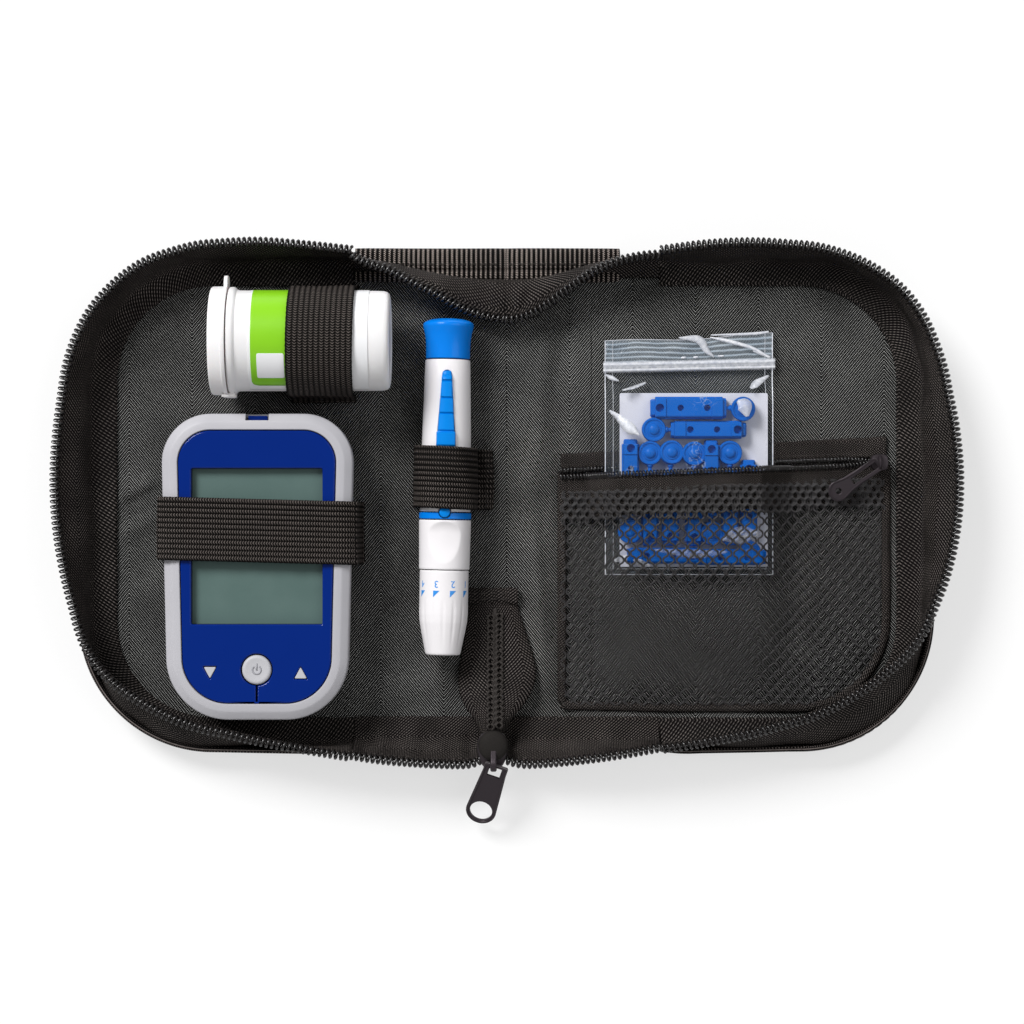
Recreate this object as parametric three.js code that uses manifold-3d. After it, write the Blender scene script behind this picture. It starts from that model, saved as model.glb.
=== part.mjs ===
// A zip-round case opened flat, with the kit that it carries: a blood glucose meter, a vial of test
// strips, a lancing pen and a mesh pocket of lancets. Millimetres, +Z up. The origin is on the
// underside, in the middle of the spine. +X points to the right half and +Y to the case's top end.
import * as THREE from "three";
import { mergeVertices } from "three/addons/utils/BufferGeometryUtils.js";
import Module from "manifold-3d";

const wasm = await Module();
wasm.setup();

// Clearances
const hug = 0.3; // between pieces that touch or move past each other
const overrun = 1; // how far a cutting shape runs past the face that it cuts
const mergeReach = 1e-4; // corners closer than this are one corner

// The case's shell. Each half is measured from the middle of the spine (u) and along Y.
const spineWidth = 42;
const foldGap = 3.3; // soft strip on the spine's side of each fold
const meterMiddle = 73.8; // middle of the spine to the meter's middle
const meterTopHalf = 28.3; // half of the meter's width at its top end
const sideRoom = 16.4; // meter's side to the lining's outer edge
const halfReach = meterMiddle + meterTopHalf + sideRoom; // middle of the spine to that edge
const floorBack = 67; // lining's edge at the top end
const floorFront = 65; // lining's edge at the bottom end
const floorCorner = 30;
const coverThickness = 1.2;
const boardThickness = 1;
const liningThickness = 0.8;
const tapeThickness = 0.8;
const boardInset = 0.6;
const hemFlap = 4.5; // cover past the lining where no wall rises
const wallTop = 18.2; // upper edge of the zip tape
const wallBelly = 8.7; // how far the wall swells out
const wallLean = 14.8; // greatest lean of the rim over the floor's edge
const gussetReach = 46; // the walls soften and fold inside this distance from the middle
const teethRadius = 1.1;

const foldLine = spineWidth / 2;
const boardTop = coverThickness + boardThickness;
const floorTop = boardTop + liningThickness;
const spineTop = coverThickness + liningThickness;
const rimOverhang = hug + tapeThickness / 2;
const teethRise = wallTop + hug + teethRadius;

// The wall's section from the floor up: shares of the belly, of the lean and of the height.
const wallLineShares = [
  [0, 0, 0],
  [0.23, 0, 0],
  [0.53, 0, 0.03],
  [0.87, 0, 0.153],
  [0.99, 0, 0.318],
  [0.9, 0.1, 0.482],
  [0.5, 0.5, 0.741],
  [0, 1, 1],
];
const coverLinePoints = 6; // the cover takes this many of those points

// How far the rim leans out along the wall, as shares of the greatest lean: along the top end, round
// the corner, down the side, round the next corner and along the bottom end.
const leanShares = [
  0.5, 0.62, 0.68, 0.66,
  0.62, 0.59, 0.58, 0.62, 0.69,
  0.78, 0.92, 1, 0.94, 0.74, 0.49,
  0.28, 0.07, -0.08, -0.13, -0.11,
  -0.05, 0.18, 0.4, 0.55,
];
const endSteps = 3;
const cornerSteps = 6;
const sideSteps = 5;

// The top end between the halves, where the tape slumps inwards.
const webbingLeft = 45.7;
const webbingRight = 34;
const webbingInner = 68.6;
const webbingOuter = 76.4;
const webbingHeight = 2.7;
const seamDepth = 0.9;
const dipReach = 45.4;
const dipDepth = 16.9;
const dipTop = 8.6; // height of the tape's edge at the lowest point of the dip
// Places along the dip as shares of its reach, each with the share of the full dip there.
const dipShares = [
  [-1, 0], [-0.92, 0.11], [-0.76, 0.23], [-0.61, 0.41], [-0.45, 0.6], [-0.3, 0.81], [-0.14, 0.94],
  [0, 1], [0.12, 0.96], [0.26, 0.77], [0.41, 0.5], [0.57, 0.24], [0.72, 0.09], [1, 0],
];

// The tape's section there, from its foot to its edge: shares of the rim's lean and of the wall's
// height where it stands upright, and shares of the dip's depth and of its height where it slumps.
const dipUprightShares = [[0.22, 0.33], [0.62, 0.66], [1, 1]];
const dipSlumpShares = [[0.04, 0.78], [0.28, 1.14], [1, 1]];

// The bottom end between the halves, where the tape runs down to the slider.
const gussetLean = 8.2;
const gussetSliderLean = 12.4;
const gussetSliderTop = 10.4;
const gussetFallShares = [0, 0.03, 0.15, 0.45, 1];
const gussetLineShares = [[0.25, 0.28], [0.72, 0.62], [1, 1]]; // shares of the lean and of the height

// The zip slider at the bottom end, its pull tab and the closed tail of the zip.
const slider = {
  x: -4.2, back: -67.9, front: -79, width: 9, tailWidth: 6.6, base: 9.4, height: 5, plate: 1.2,
  shoulderShare: 0.6, frontShare: 0.6, postShare: 0.2,
};
const mainBail = { length: 6.6, width: 1.6, height: 4.8, wire: 0.6 };
const mainPull = {
  length: 22.2, width: 8.4, neck: 5.7, thickness: 1, hole: 3.4, bar: 0.8, window: 3.9, windowWidth: 3,
  tilt: 31, yaw: -18.7,
};
const tail = {
  hemY: -29.3, hemDepth: 3.6, hemHeight: 1.5, chainWidth: 5.4, chainX: -3.4, chainHeight: 1.2,
  thickness: 0.8, chainEndGap: 1.2, end: -32, width: 23, rise: 8.6,
};
const tailAcrossShares = [-0.5, -0.25, 0.25, 0.5];
// The tail leaf from the slider to its end: shares of its length, and there shares of its width that
// its middle lies off the slider's, of the width and of the rise over the spine's lining.
const tailShares = [
  [0, 0, 0.278, 1], [0.157, 0.009, 0.652, 0.837], [0.312, 0.043, 0.935, 0.605], [0.466, 0.061, 1, 0.36],
  [0.663, 0.052, 0.913, 0.186], [0.86, 0.026, 0.761, 0.093], [1, 0.009, 0.639, 0.035],
];
const tailStations = tailShares.map(([along, aside, wide, high]) => ({
  y: THREE.MathUtils.lerp(slider.back + hug, tail.end, along),
  x: slider.x + aside * tail.width,
  width: wide * tail.width,
  lift: high * tail.rise,
}));

// The glucose meter
const meter = {
  x: -meterMiddle, top: 26.9, bottom: -63.6, topHalf: meterTopHalf, bottomHalf: 27,
  topCorner: 14.5, bottomCorner: 18.5,
  base: 3.3, split: 12.9, height: 20, rearInset: 0.9, rearWall: 1.6, rearFloor: 2.7,
  frameWall: 2, frameLip: 4.8, frameLipDepth: 2.1, faceThickness: 1.8, faceRecess: 0.3,
};
const meterTop = meter.base + meter.height;
// The front frame's section: inset from the outline and drop below the top, as shares of the lip's
// width and of the frame's height.
const frameRimShares = [[0.09, 1], [0, 0.8], [0, 0.165], [0.52, 0.024], [1, 0]];
// Places on the meter: from its sides and ends, and for the arrow buttons from its middle line
const lcdRoom = { left: 8.95, right: 8.9, top: 16.1, bottom: 28.3 };
const buttonRoom = { power: 14.9, arrows: 13.9, left: 13.8, right: 13 };
const batteryRoom = 39.6;
const strapRoom = { top: 25.2, bottom: 43.5 };
const lcd = {
  left: meter.x - meter.topHalf + lcdRoom.left, right: meter.x + meter.topHalf - lcdRoom.right,
  top: meter.top - lcdRoom.top, bottom: meter.bottom + lcdRoom.bottom, margin: 0.9, thickness: 2.4,
};
const board = { thickness: 1.2, inset: 2.4, base: 14.2 };
const powerButton = {
  y: meter.bottom + buttonRoom.power, radius: 4.35, height: 6.6, dome: 0.5, stem: 1.5, stemLength: 0.8,
  proud: 0.4,
};
const arrowButton = {
  left: meter.x - buttonRoom.left, right: meter.x + buttonRoom.right, y: meter.bottom + buttonRoom.arrows,
  width: 3.7, height: 3.4, depth: 3.2, proud: 0.2,
};
const faceSlit = { width: 0.5 };
const stripPort = {
  width: 5.9, height: 4, length: 12.2, base: 15.7, recess: 0.6, notchDepth: 2, slotWidth: 5.3,
  slotHeight: 0.9, slotDepth: 8,
};
const battery = {
  y: meter.bottom + batteryRoom, radius: 10, height: 3.2, doorWidth: 23, doorLength: 25, door: 1.4,
  travel: 6,
};
const meterStrap = {
  top: meter.top - strapRoom.top, bottom: meter.top - strapRoom.bottom, thickness: 1, foot: 2.6,
  footHeight: 2, shoulderDrop: 1.6,
};
// Where the strap bends over the meter's edge, as shares of the frame lip's width
const strapBendShares = [[0.5, 0.03], [0.9, 0]];
const meterFaceTop = meterTop - meter.faceRecess;
const meterFaceBase = meterFaceTop - meter.faceThickness;

// The vial of test strips, lying along X
const strips = { length: 33, width: 14, stack: 6, start: -71 };
const stripsRoom = 3.6; // end of the strips to the vial's closed end
const vial = {
  y: 48.6, z: 19.9, mouth: -82, bottom: strips.start + strips.length + stripsRoom, radius: 14.9, wall: 1.4,
  collar: 16, collarLength: 2.6, floor: 1.6, sides: 28,
};
const lid = {
  outer: -87.4, flange: -83.4, radius: 16.1, flangeRadius: 16.6, plug: 13.2, plugWall: 1.2,
  plugLength: 4, tabReach: 19.2, tabWidth: 9, tabThickness: 1.1,
};
const liner = { thickness: 0.9, start: -77.4 };
const vialStrap = { left: -64.1, right: -45.1, thickness: 0.9, foot: 2, sides: 12 };

// The lancing pen, lying along its own Y axis and turned a little on the lining
const pen = {
  x: -18.25, y: 5.5, z: 11.2, turn: -1, sides: 20,
  backEnd: 50.3, capBase: 37.9, barrelFront: -7.5, ringFront: -9.7, sleeveFront: -24.7, tip: -50.3,
  capRadius: 6.6, capFlare: 7.6, backRadius: 6.75, frontRadius: 7.65, ringRadius: 7.8,
  sleeveRadius: 7.55, dialRadius: 7.3, tipRadius: 5.1, tipHole: 1.2, wall: 1.6, bore: 5.25, rod: 2,
  rodLength: 22, endWall: 1.6,
};
const ejector = { front: 11.9, back: 34.6, frontWidth: 5.7, backWidth: 2.7, top: 7.8, root: 5.6, travel: 6 };
const release = { y: -7.6, radius: 1.66, top: 7.95, root: 5.9 };
const recess = { y: -17, width: 9.7, length: 12.6, depth: 1.1 };
const holder = { radius: 2.9, front: -42.5, back: -1.6, needle: 0.4, needleLength: 3 };
const spring = { radius: 4, wire: 0.5, turns: 7, start: -0.4, end: 15.5, turnSteps: 8, sides: 5 };
const dialTaperShare = 0.577; // share of the dial's length that is its cylinder
const penStrap = {
  top: 17.3, bottom: -0.6, inner: 8.6, thickness: 0.9, footLeft: -29.3, footRight: -9.4, tailEnd: -5,
  sides: 12,
};

// The zipped net pocket on the right half
const pocketRoom = { fold: 1.6, side: 3.9 }; // from the fold and from the lining's outer edge
const pocket = {
  left: foldLine + pocketRoom.fold, right: halfReach - pocketRoom.side, bottom: -61.3, corner: 27,
  net: 0.5, tape: 0.7, tapeWidth: 2.8,
  upperTapeLeft: 13.7, upperTapeRight: 19.3, upperCoilLeft: 10.8, upperCoilRight: 14.4,
  lowerCoilLeft: 8.6, lowerCoilRight: 12.2, coil: 0.9, hem: 10.5, hemThickness: 0.9,
  holePitch: 7.6, rowPitch: 3.9, holeWidth: 5.9, holeHeight: 5.4, border: 2.4,
};
// Height of the net's upper edge across the pocket: places as shares of its width, and the share of
// the bag's swell there.
const pocketArchShares = [
  [0, 0.03], [0.02, 0.05], [0.06, 0.55], [0.113, 0.96], [0.166, 1.03], [0.36, 1.05], [0.58, 1.04],
  [0.615, 0.66], [0.65, 0.33], [0.685, 0.05], [0.84, 0.03], [1, 0.03],
];
// Height of the net from its upper edge down to the bottom seam: places and shares of the swell.
const pocketFallShares = [[0, 1], [0.4, 1], [0.5, 0.84], [0.64, 0.58], [0.8, 0.3], [1, 0]];
const pocketSliderRoom = 2.6; // slider's middle to the pocket's outer end
const pocketSlider = {
  x: pocket.right - pocketSliderRoom, y: 12.8, length: 5.4, width: 5.2, base: 5.8, height: 2.6,
};
const pocketBail = { length: 4.2, width: 1.2, height: 2.4, wire: 0.6 };
const pocketPull = {
  length: 17.5, width: 6, neck: 3.8, thickness: 0.9, hole: 1.3, bar: 0.8, window: 2.6, windowWidth: 2.2,
  tilt: 4, yaw: -55.2,
};

// The zip-lock bag of lancets
const bag = {
  left: 29.7, right: 80.1, lip: 49.5, bottom: -20.9, film: 0.3, thin: 0.8, swell: 6.4, lipBase: 3.4,
  base: 5.3, seal: 0.7,
};
// Thickness across and along the bag, and the rise of its underside: places as shares, and shares of
// the swell and of the rise.
const bagAcrossShares = [
  [0, 0], [0.03, 0.2], [0.07, 0.85], [0.12, 1], [0.9, 1], [0.95, 0.55], [0.985, 0.1], [1, 0],
];
const bagAlongShares = [[0, 0], [0.18, 0.05], [0.205, 0.5], [0.235, 1], [0.93, 1], [0.975, 0.5], [1, 0]];
const bagRiseShares = [[0, 0], [0.18, 0], [0.27, 1], [1, 1]];
const card = { left: 34, right: 78.6, top: 33.7, bottom: -18.6, base: 5.8, thickness: 0.4 };
const lancet = {
  base: 6.4, height: 5, length: 22.7, cap: 3.3, capThickness: 2.4, capRise: 1.6,
  neck: 1.8, neckThickness: 1.4, groove: 1.2, sides: 14,
};
// Each lancet's middle and the way that its cap points
const upperLancet = { x: 54.5, y: 29, way: 1, width: 6.8 };
const lowerLancet = { x: 60.7, y: 22, way: -1, width: 5.4 };
const pile = {
  left: 36.5, right: 73, top: 14.4, bottom: -16.5, height: 2.6, discRow: 14.9, bodyWidth: 5.2,
  bodyLength: 12,
};
const pileDiscShares = [0.18, 0.35, 0.54, 0.84];
const pileBodyShares = [0.02, 0.7, 0.94];

// Shape helpers

// Gives a geometry as a solid, with its shared corners merged.
function solid(geometry) {
  const bare = geometry.index ? geometry.toNonIndexed() : geometry.clone();
  bare.deleteAttribute("normal");
  bare.deleteAttribute("uv");
  const merged = mergeVertices(bare, mergeReach);
  const mesh = new wasm.Mesh({
    numProp: 3,
    vertProperties: new Float32Array(merged.attributes.position.array),
    triVerts: new Uint32Array(merged.index.array),
  });
  return new wasm.Manifold(mesh);
}

function geometryOf(body) {
  const mesh = body.getMesh();
  const geometry = new THREE.BufferGeometry();
  const places = new Float32Array(mesh.vertProperties);
  geometry.setAttribute("position", new THREE.BufferAttribute(places, mesh.numProp));
  geometry.setIndex(new THREE.BufferAttribute(new Uint32Array(mesh.triVerts), 1));
  return geometry;
}

function join(...geometries) {
  const bodies = geometries.map(solid);
  return geometryOf(bodies.reduce((whole, body) => whole.add(body)));
}

function cut(geometry, ...tools) {
  const bodies = tools.map(solid);
  return geometryOf(bodies.reduce((whole, tool) => whole.subtract(tool), solid(geometry)));
}

// A box between two corners
function block(left, front, base, right, back, top) {
  const geometry = new THREE.BoxGeometry(right - left, back - front, top - base);
  return geometry.translate((left + right) / 2, (front + back) / 2, (base + top) / 2);
}

// An outline raised from a height
function prism(outline, base, thickness, holes = []) {
  const shape = new THREE.Shape(outline);
  shape.holes = holes.map((hole) => new THREE.Path(hole));
  const geometry = new THREE.ExtrudeGeometry(shape, { depth: thickness, bevelEnabled: false });
  return geometry.translate(0, 0, base);
}

function circlePoints(x, y, radius, sides) {
  const turn = (2 * Math.PI) / sides;
  const at = (i) => new THREE.Vector2(x + radius * Math.cos(i * turn), y + radius * Math.sin(i * turn));
  return Array.from({ length: sides }, (_, i) => at(i));
}

// An upright cylinder
function post(x, y, radius, base, top, sides = 20) {
  return prism(circlePoints(x, y, radius, sides), base, top - base);
}

// Builds a closed geometry from points and triangles, with its faces pointing out.
function closed(points, triangles) {
  let volume = 0;
  for (let i = 0; i < triangles.length; i += 3) {
    const [a, b, c] = [points[triangles[i]], points[triangles[i + 1]], points[triangles[i + 2]]];
    volume += a.dot(new THREE.Vector3().crossVectors(b, c));
  }
  const order = volume < 0 ? triangles.toReversed() : triangles;
  const geometry = new THREE.BufferGeometry();
  geometry.setFromPoints(points);
  geometry.setIndex(order);
  return geometry;
}

// A thick sheet between two grids of points
function sheet(front, back) {
  const rows = front.length;
  const columns = front[0].length;
  const count = rows * columns;
  const triangles = [];
  const quad = (a, b, c, d) => triangles.push(a, b, c, a, c, d);
  for (let i = 0; i + 1 < rows; i += 1) {
    for (let j = 0; j + 1 < columns; j += 1) {
      const a = i * columns + j;
      quad(a, a + 1, a + columns + 1, a + columns);
      quad(count + a, count + a + columns, count + a + columns + 1, count + a + 1);
    }
  }
  const rim = [];
  for (let j = 0; j < columns; j += 1) {
    rim.push(j);
  }
  for (let i = 1; i < rows; i += 1) {
    rim.push(i * columns + columns - 1);
  }
  for (let j = columns - 2; j >= 0; j -= 1) {
    rim.push((rows - 1) * columns + j);
  }
  for (let i = rows - 2; i > 0; i -= 1) {
    rim.push(i * columns);
  }
  rim.forEach((a, i) => {
    const b = rim[(i + 1) % rim.length];
    quad(b, a, count + a, count + b);
  });
  return closed([...front.flat(), ...back.flat()], triangles);
}

// A closed hoop: rings of points that close on themselves both ways
function hoop(rings) {
  const size = rings[0].length;
  const triangles = [];
  rings.forEach((ring, i) => {
    const next = ((i + 1) % rings.length) * size;
    ring.forEach((_, j) => {
      const a = i * size + j;
      const b = i * size + ((j + 1) % size);
      const c = next + ((j + 1) % size);
      const d = next + j;
      triangles.push(a, b, c, a, c, d);
    });
  });
  return closed(rings.flat(), triangles);
}

// Moves a flat line of points sideways, to the left of its direction.
function shifted(line, distance) {
  return line.map((point, i) => {
    const before = line[Math.max(i - 1, 0)];
    const after = line[Math.min(i + 1, line.length - 1)];
    const way = new THREE.Vector2(after[0] - before[0], after[1] - before[1]).normalize();
    return [point[0] - distance * way.y, point[1] + distance * way.x];
  });
}

// A value read off a table of [place, value] rows
function tableAt(table, place) {
  const last = table.length - 1;
  const next = table.findIndex((row) => row[0] >= place);
  if (next <= 0) {
    return next === 0 ? table[0][1] : table[last][1];
  }
  const [before, after] = [table[next - 1], table[next]];
  return THREE.MathUtils.mapLinear(place, before[0], after[0], before[1], after[1]);
}

// A round bar along a smooth line through points
function bead(points, radius, steps, sides = 6) {
  const section = new THREE.Shape(circlePoints(0, 0, radius, sides));
  const path = new THREE.CatmullRomCurve3(points, false, "centripetal");
  return new THREE.ExtrudeGeometry(section, { steps, extrudePath: path, bevelEnabled: false });
}

// A turned piece along Y from rows of [radius, y] that start and end on the axis
function turned(profile, sides) {
  const lathe = new THREE.LatheGeometry(profile.map(([radius, y]) => new THREE.Vector2(radius, y)), sides);
  const bare = lathe.toNonIndexed();
  bare.deleteAttribute("normal");
  bare.deleteAttribute("uv");
  const merged = mergeVertices(bare, mergeReach);
  const position = merged.attributes.position;
  const pointAt = (i) => new THREE.Vector3().fromBufferAttribute(position, i);
  const points = Array.from({ length: position.count }, (_, i) => pointAt(i));
  const index = Array.from(merged.index.array);
  const triangles = [];
  for (let i = 0; i < index.length; i += 3) {
    const [a, b, c] = index.slice(i, i + 3);
    if (a !== b && b !== c && c !== a) {
      triangles.push(a, b, c);
    }
  }
  return closed(points, triangles);
}

// A turned piece whose profile closes on itself off the axis
function turnedRing(profile, sides) {
  return turned([...profile, profile[0]], sides);
}

// The case's shell

// Stations along a half's floor edge, from the top end round to the bottom end, each with its
// outward direction and the lean of the rim there.
function wallStations() {
  const stations = [];
  const cornerAt = halfReach - floorCorner;
  const backCorner = floorBack - floorCorner;
  const frontCorner = floorCorner - floorFront;
  const push = (u, y, angle) => stations.push({ u, y, nu: Math.cos(angle), ny: Math.sin(angle) });
  const quarter = Math.PI / 2;
  for (let i = 0; i <= endSteps; i += 1) {
    push(THREE.MathUtils.lerp(gussetReach, cornerAt, i / endSteps), floorBack, quarter);
  }
  for (let i = 1; i < cornerSteps; i += 1) {
    const angle = quarter * (1 - i / cornerSteps);
    push(cornerAt + floorCorner * Math.cos(angle), backCorner + floorCorner * Math.sin(angle), angle);
  }
  for (let i = 0; i <= sideSteps; i += 1) {
    push(halfReach, THREE.MathUtils.lerp(backCorner, frontCorner, i / sideSteps), 0);
  }
  for (let i = 1; i < cornerSteps; i += 1) {
    const angle = (-quarter * i) / cornerSteps;
    push(cornerAt + floorCorner * Math.cos(angle), frontCorner + floorCorner * Math.sin(angle), angle);
  }
  for (let i = 0; i <= endSteps; i += 1) {
    push(THREE.MathUtils.lerp(cornerAt, gussetReach, i / endSteps), -floorFront, -quarter);
  }
  return stations.map((station, i) => ({ ...station, lean: leanShares[i] * wallLean }));
}

const stations = wallStations();

// A point that stands off a station, on the half that side names (-1 left, 1 right)
function stand(side, station, offset, z) {
  return new THREE.Vector3(side * (station.u + station.nu * offset), station.y + station.ny * offset, z);
}

function wallLine(lean) {
  const rise = wallTop - coverThickness;
  return wallLineShares.map(([belly, leaning, height]) => [
    belly * wallBelly + leaning * (lean + rimOverhang),
    coverThickness + height * rise,
  ]);
}

// The outline of one half's floor, moved out by an offset and cut off at its fold
function floorOutline(side, offset, fold) {
  const points = stations.map((station) => stand(side, station, offset, 0));
  const outline = points.map((point) => new THREE.Vector2(point.x, point.y));
  outline.push(new THREE.Vector2(side * fold, -floorFront - offset));
  outline.push(new THREE.Vector2(side * fold, floorBack + offset));
  return outline;
}

function outerCover(side) {
  const flat = wallBelly * wallLineShares[1][0];
  const base = prism(floorOutline(side, flat / 2, foldLine), 0, coverThickness);
  const flapEnd = gussetReach + flat / 2;
  const [left, right] = [side * foldLine, side * flapEnd].sort((a, b) => a - b);
  const flap = block(left, -floorFront - hemFlap, 0, right, floorBack + hemFlap, coverThickness);
  const inner = [];
  const outer = [];
  stations.forEach((station) => {
    const line = wallLine(station.lean).slice(0, coverLinePoints);
    inner.push(line.map(([offset, z]) => stand(side, station, offset, z)));
    const outerLine = shifted(line, -coverThickness);
    outer.push(outerLine.map(([offset, z]) => stand(side, station, offset, Math.max(z, 0))));
  });
  return join(base, flap, sheet(inner, outer));
}

function stiffenerBoard(side) {
  return prism(floorOutline(side, -boardInset, foldLine + boardInset), coverThickness, boardThickness);
}

function liningPanel(side) {
  return prism(floorOutline(side, 0, foldLine), boardTop, liningThickness);
}

function zipTape(side) {
  const inner = [];
  const outer = [];
  stations.forEach((station) => {
    const line = wallLine(station.lean);
    line[0] = [hug, coverThickness];
    const at = ([offset, z]) => stand(side, station, offset, Math.min(z, wallTop));
    outer.push(shifted(line, hug).map(at));
    inner.push(shifted(line, hug + tapeThickness).map(at));
  });
  return sheet(inner, outer);
}

function zipTeeth(side) {
  const points = stations.map((station) => stand(side, station, station.lean, teethRise));
  return bead(points, teethRadius, stations.length + cornerSteps);
}

function spineCover() {
  const half = foldLine - foldGap;
  return block(-half, -floorFront - hemFlap, 0, half, floorBack + hemFlap, coverThickness);
}

function spineLining() {
  const half = foldLine - hug;
  return block(-half, -floorFront, coverThickness, half, floorBack, spineTop);
}

// A hem of two rows with a seam between them, laid along X
function topWebbing() {
  const middle = (webbingInner + webbingOuter) / 2;
  const base = coverThickness + hug;
  const top = base + webbingHeight;
  const profile = [
    [webbingInner, base],
    [webbingOuter, base],
    [webbingOuter, top - seamDepth],
    [webbingOuter - seamDepth, top],
    [middle + seamDepth, top],
    [middle, top - seamDepth],
    [middle - seamDepth, top],
    [webbingInner + seamDepth, top],
    [webbingInner, top - seamDepth],
  ];
  const ends = [-webbingLeft, webbingRight];
  const rings = ends.map((x) => profile.map(([y, z]) => new THREE.Vector3(x, y, z)));
  const shape = new THREE.Shape(profile.map(([y, z]) => new THREE.Vector2(y, z)));
  const faces = THREE.ShapeUtils.triangulateShape(shape.getPoints(), []);
  const count = profile.length;
  const triangles = [];
  faces.forEach(([a, b, c]) => triangles.push(a, b, c, count + a, count + c, count + b));
  profile.forEach((_, a) => {
    const b = (a + 1) % count;
    triangles.push(b, a, count + a, b, count + a, count + b);
  });
  return closed(rings.flat(), triangles);
}

// The tape's section at the top end: upright at the ends of the dip, slumped inwards in its middle
function dipLine(dip) {
  const lean = leanShares[0] * wallLean;
  const line = [[hug, coverThickness + tapeThickness]];
  dipUprightShares.forEach(([out, up], i) => {
    const [drop, rise] = dipSlumpShares[i];
    const slump = i === dipSlumpShares.length - 1 ? lean : 0;
    line.push([
      THREE.MathUtils.lerp(lean * out, slump - dipDepth * drop, dip),
      THREE.MathUtils.lerp(wallTop * up, dipTop * rise, dip),
    ]);
  });
  return line;
}

function topDipTape() {
  const inner = [];
  const outer = [];
  dipShares.forEach(([place, dip]) => {
    const x = place * dipReach;
    const line = dipLine(dip);
    const at = ([offset, z]) => new THREE.Vector3(x, floorBack + offset, z);
    inner.push(line.map(at));
    outer.push(shifted(line, -tapeThickness).map(at));
  });
  return sheet(inner, outer);
}

function topDipTeeth() {
  const points = dipShares.map(([place, dip]) => {
    const line = dipLine(dip);
    const [offset, z] = line[line.length - 1];
    const before = line[line.length - 2];
    const way = new THREE.Vector2(offset - before[0], z - before[1]).normalize();
    const rise = hug + teethRadius + tapeThickness / 2;
    const y = floorBack + offset + way.x * rise + (tapeThickness / 2) * way.y;
    return new THREE.Vector3(place * dipReach, y, z + way.y * rise + (dip * tapeThickness) / 2);
  });
  return bead(points, teethRadius, dipShares.length * 2);
}

// Tape and teeth from a half's rim down to the slider
function bottomGusset(start, end) {
  const inner = [];
  const outer = [];
  const rim = [];
  gussetFallShares.forEach((fall, i) => {
    const x = THREE.MathUtils.lerp(start, end, i / (gussetFallShares.length - 1));
    const lean = THREE.MathUtils.lerp(gussetLean, gussetSliderLean, i / (gussetFallShares.length - 1));
    const top = THREE.MathUtils.lerp(wallTop, gussetSliderTop, fall);
    const line = [
      [hug, coverThickness + tapeThickness],
      ...gussetLineShares.map(([out, up]) => [lean * out, top * up]),
    ];
    const at = ([offset, z]) => new THREE.Vector3(x, -floorFront - offset, z);
    inner.push(line.map(at));
    outer.push(shifted(line, -tapeThickness).map(at));
    rim.push(new THREE.Vector3(x, -floorFront - lean - tapeThickness / 2, top + teethRadius / 2));
  });
  return join(sheet(inner, outer), bead(rim, teethRadius, rim.length * 2));
}

// The bottom slider: two plates joined by a wedge, with a bail on top for the pull
function mainSlider() {
  const shoulder = THREE.MathUtils.lerp(slider.front, slider.back, slider.shoulderShare);
  const half = slider.width / 2;
  const tailHalf = slider.tailWidth / 2;
  const outline = [
    new THREE.Vector2(slider.x - half * slider.frontShare, slider.front),
    new THREE.Vector2(slider.x + half * slider.frontShare, slider.front),
    new THREE.Vector2(slider.x + half, shoulder),
    new THREE.Vector2(slider.x + tailHalf, slider.back),
    new THREE.Vector2(slider.x - tailHalf, slider.back),
    new THREE.Vector2(slider.x - half, shoulder),
  ];
  const top = slider.base + slider.height;
  const lower = prism(outline, slider.base, slider.plate);
  const upper = prism(outline, top - slider.plate, slider.plate);
  const wedgeHalf = slider.width * slider.postShare;
  const wedge = block(
    slider.x - wedgeHalf, slider.front, slider.base, slider.x + wedgeHalf, shoulder, top,
  );
  const arch = bailArch(mainBail).translate(slider.x, slider.front + mainBail.length / 2, top);
  return join(lower, upper, wedge, arch);
}

// An arch of wire that runs along Y, with its middle at the origin and its feet sunk in its base
function bailArch(bail) {
  const half = bail.length / 2;
  const side = bail.width / 2;
  const arch = block(-side, -half, -bail.wire / 2, side, half, bail.height);
  const [eyeSide, eyeHalf] = [side + overrun, half - bail.wire];
  const eye = block(-eyeSide, -eyeHalf, 0, eyeSide, eyeHalf, bail.height - bail.wire);
  return cut(arch, eye);
}

// A pull tab that lies from its bar at the origin along -Y, with a window behind the bar for the
// bail and a hole near its round end
function pullTab(tab) {
  const end = tab.width / 2;
  const outline = [];
  const sweep = 10;
  for (let i = 0; i <= sweep; i += 1) {
    const angle = Math.PI + (Math.PI * i) / sweep;
    outline.push(new THREE.Vector2(end * Math.cos(angle), end - tab.length + end * Math.sin(angle)));
  }
  const side = tab.neck / 2;
  outline.push(new THREE.Vector2(side, -tab.window - end));
  outline.push(new THREE.Vector2(side, tab.bar / 2));
  outline.push(new THREE.Vector2(-side, tab.bar / 2));
  outline.push(new THREE.Vector2(-side, -tab.window - end));
  const hole = circlePoints(0, end - tab.length, tab.hole, 10);
  const half = tab.windowWidth / 2;
  const window = [
    new THREE.Vector2(-half, -tab.window),
    new THREE.Vector2(half, -tab.window),
    new THREE.Vector2(half, -tab.bar / 2),
    new THREE.Vector2(-half, -tab.bar / 2),
  ];
  const plate = prism(outline, -tab.thickness / 2, tab.thickness, [hole, window]);
  plate.rotateX(THREE.MathUtils.degToRad(tab.tilt));
  return plate.rotateZ(THREE.MathUtils.degToRad(tab.yaw));
}

function mainPullTab() {
  const rise = slider.base + slider.height + (mainBail.height - mainBail.wire) / 2;
  const back = slider.front + mainBail.wire + mainPull.bar + hug;
  return pullTab(mainPull).translate(slider.x, back, rise);
}

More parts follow.
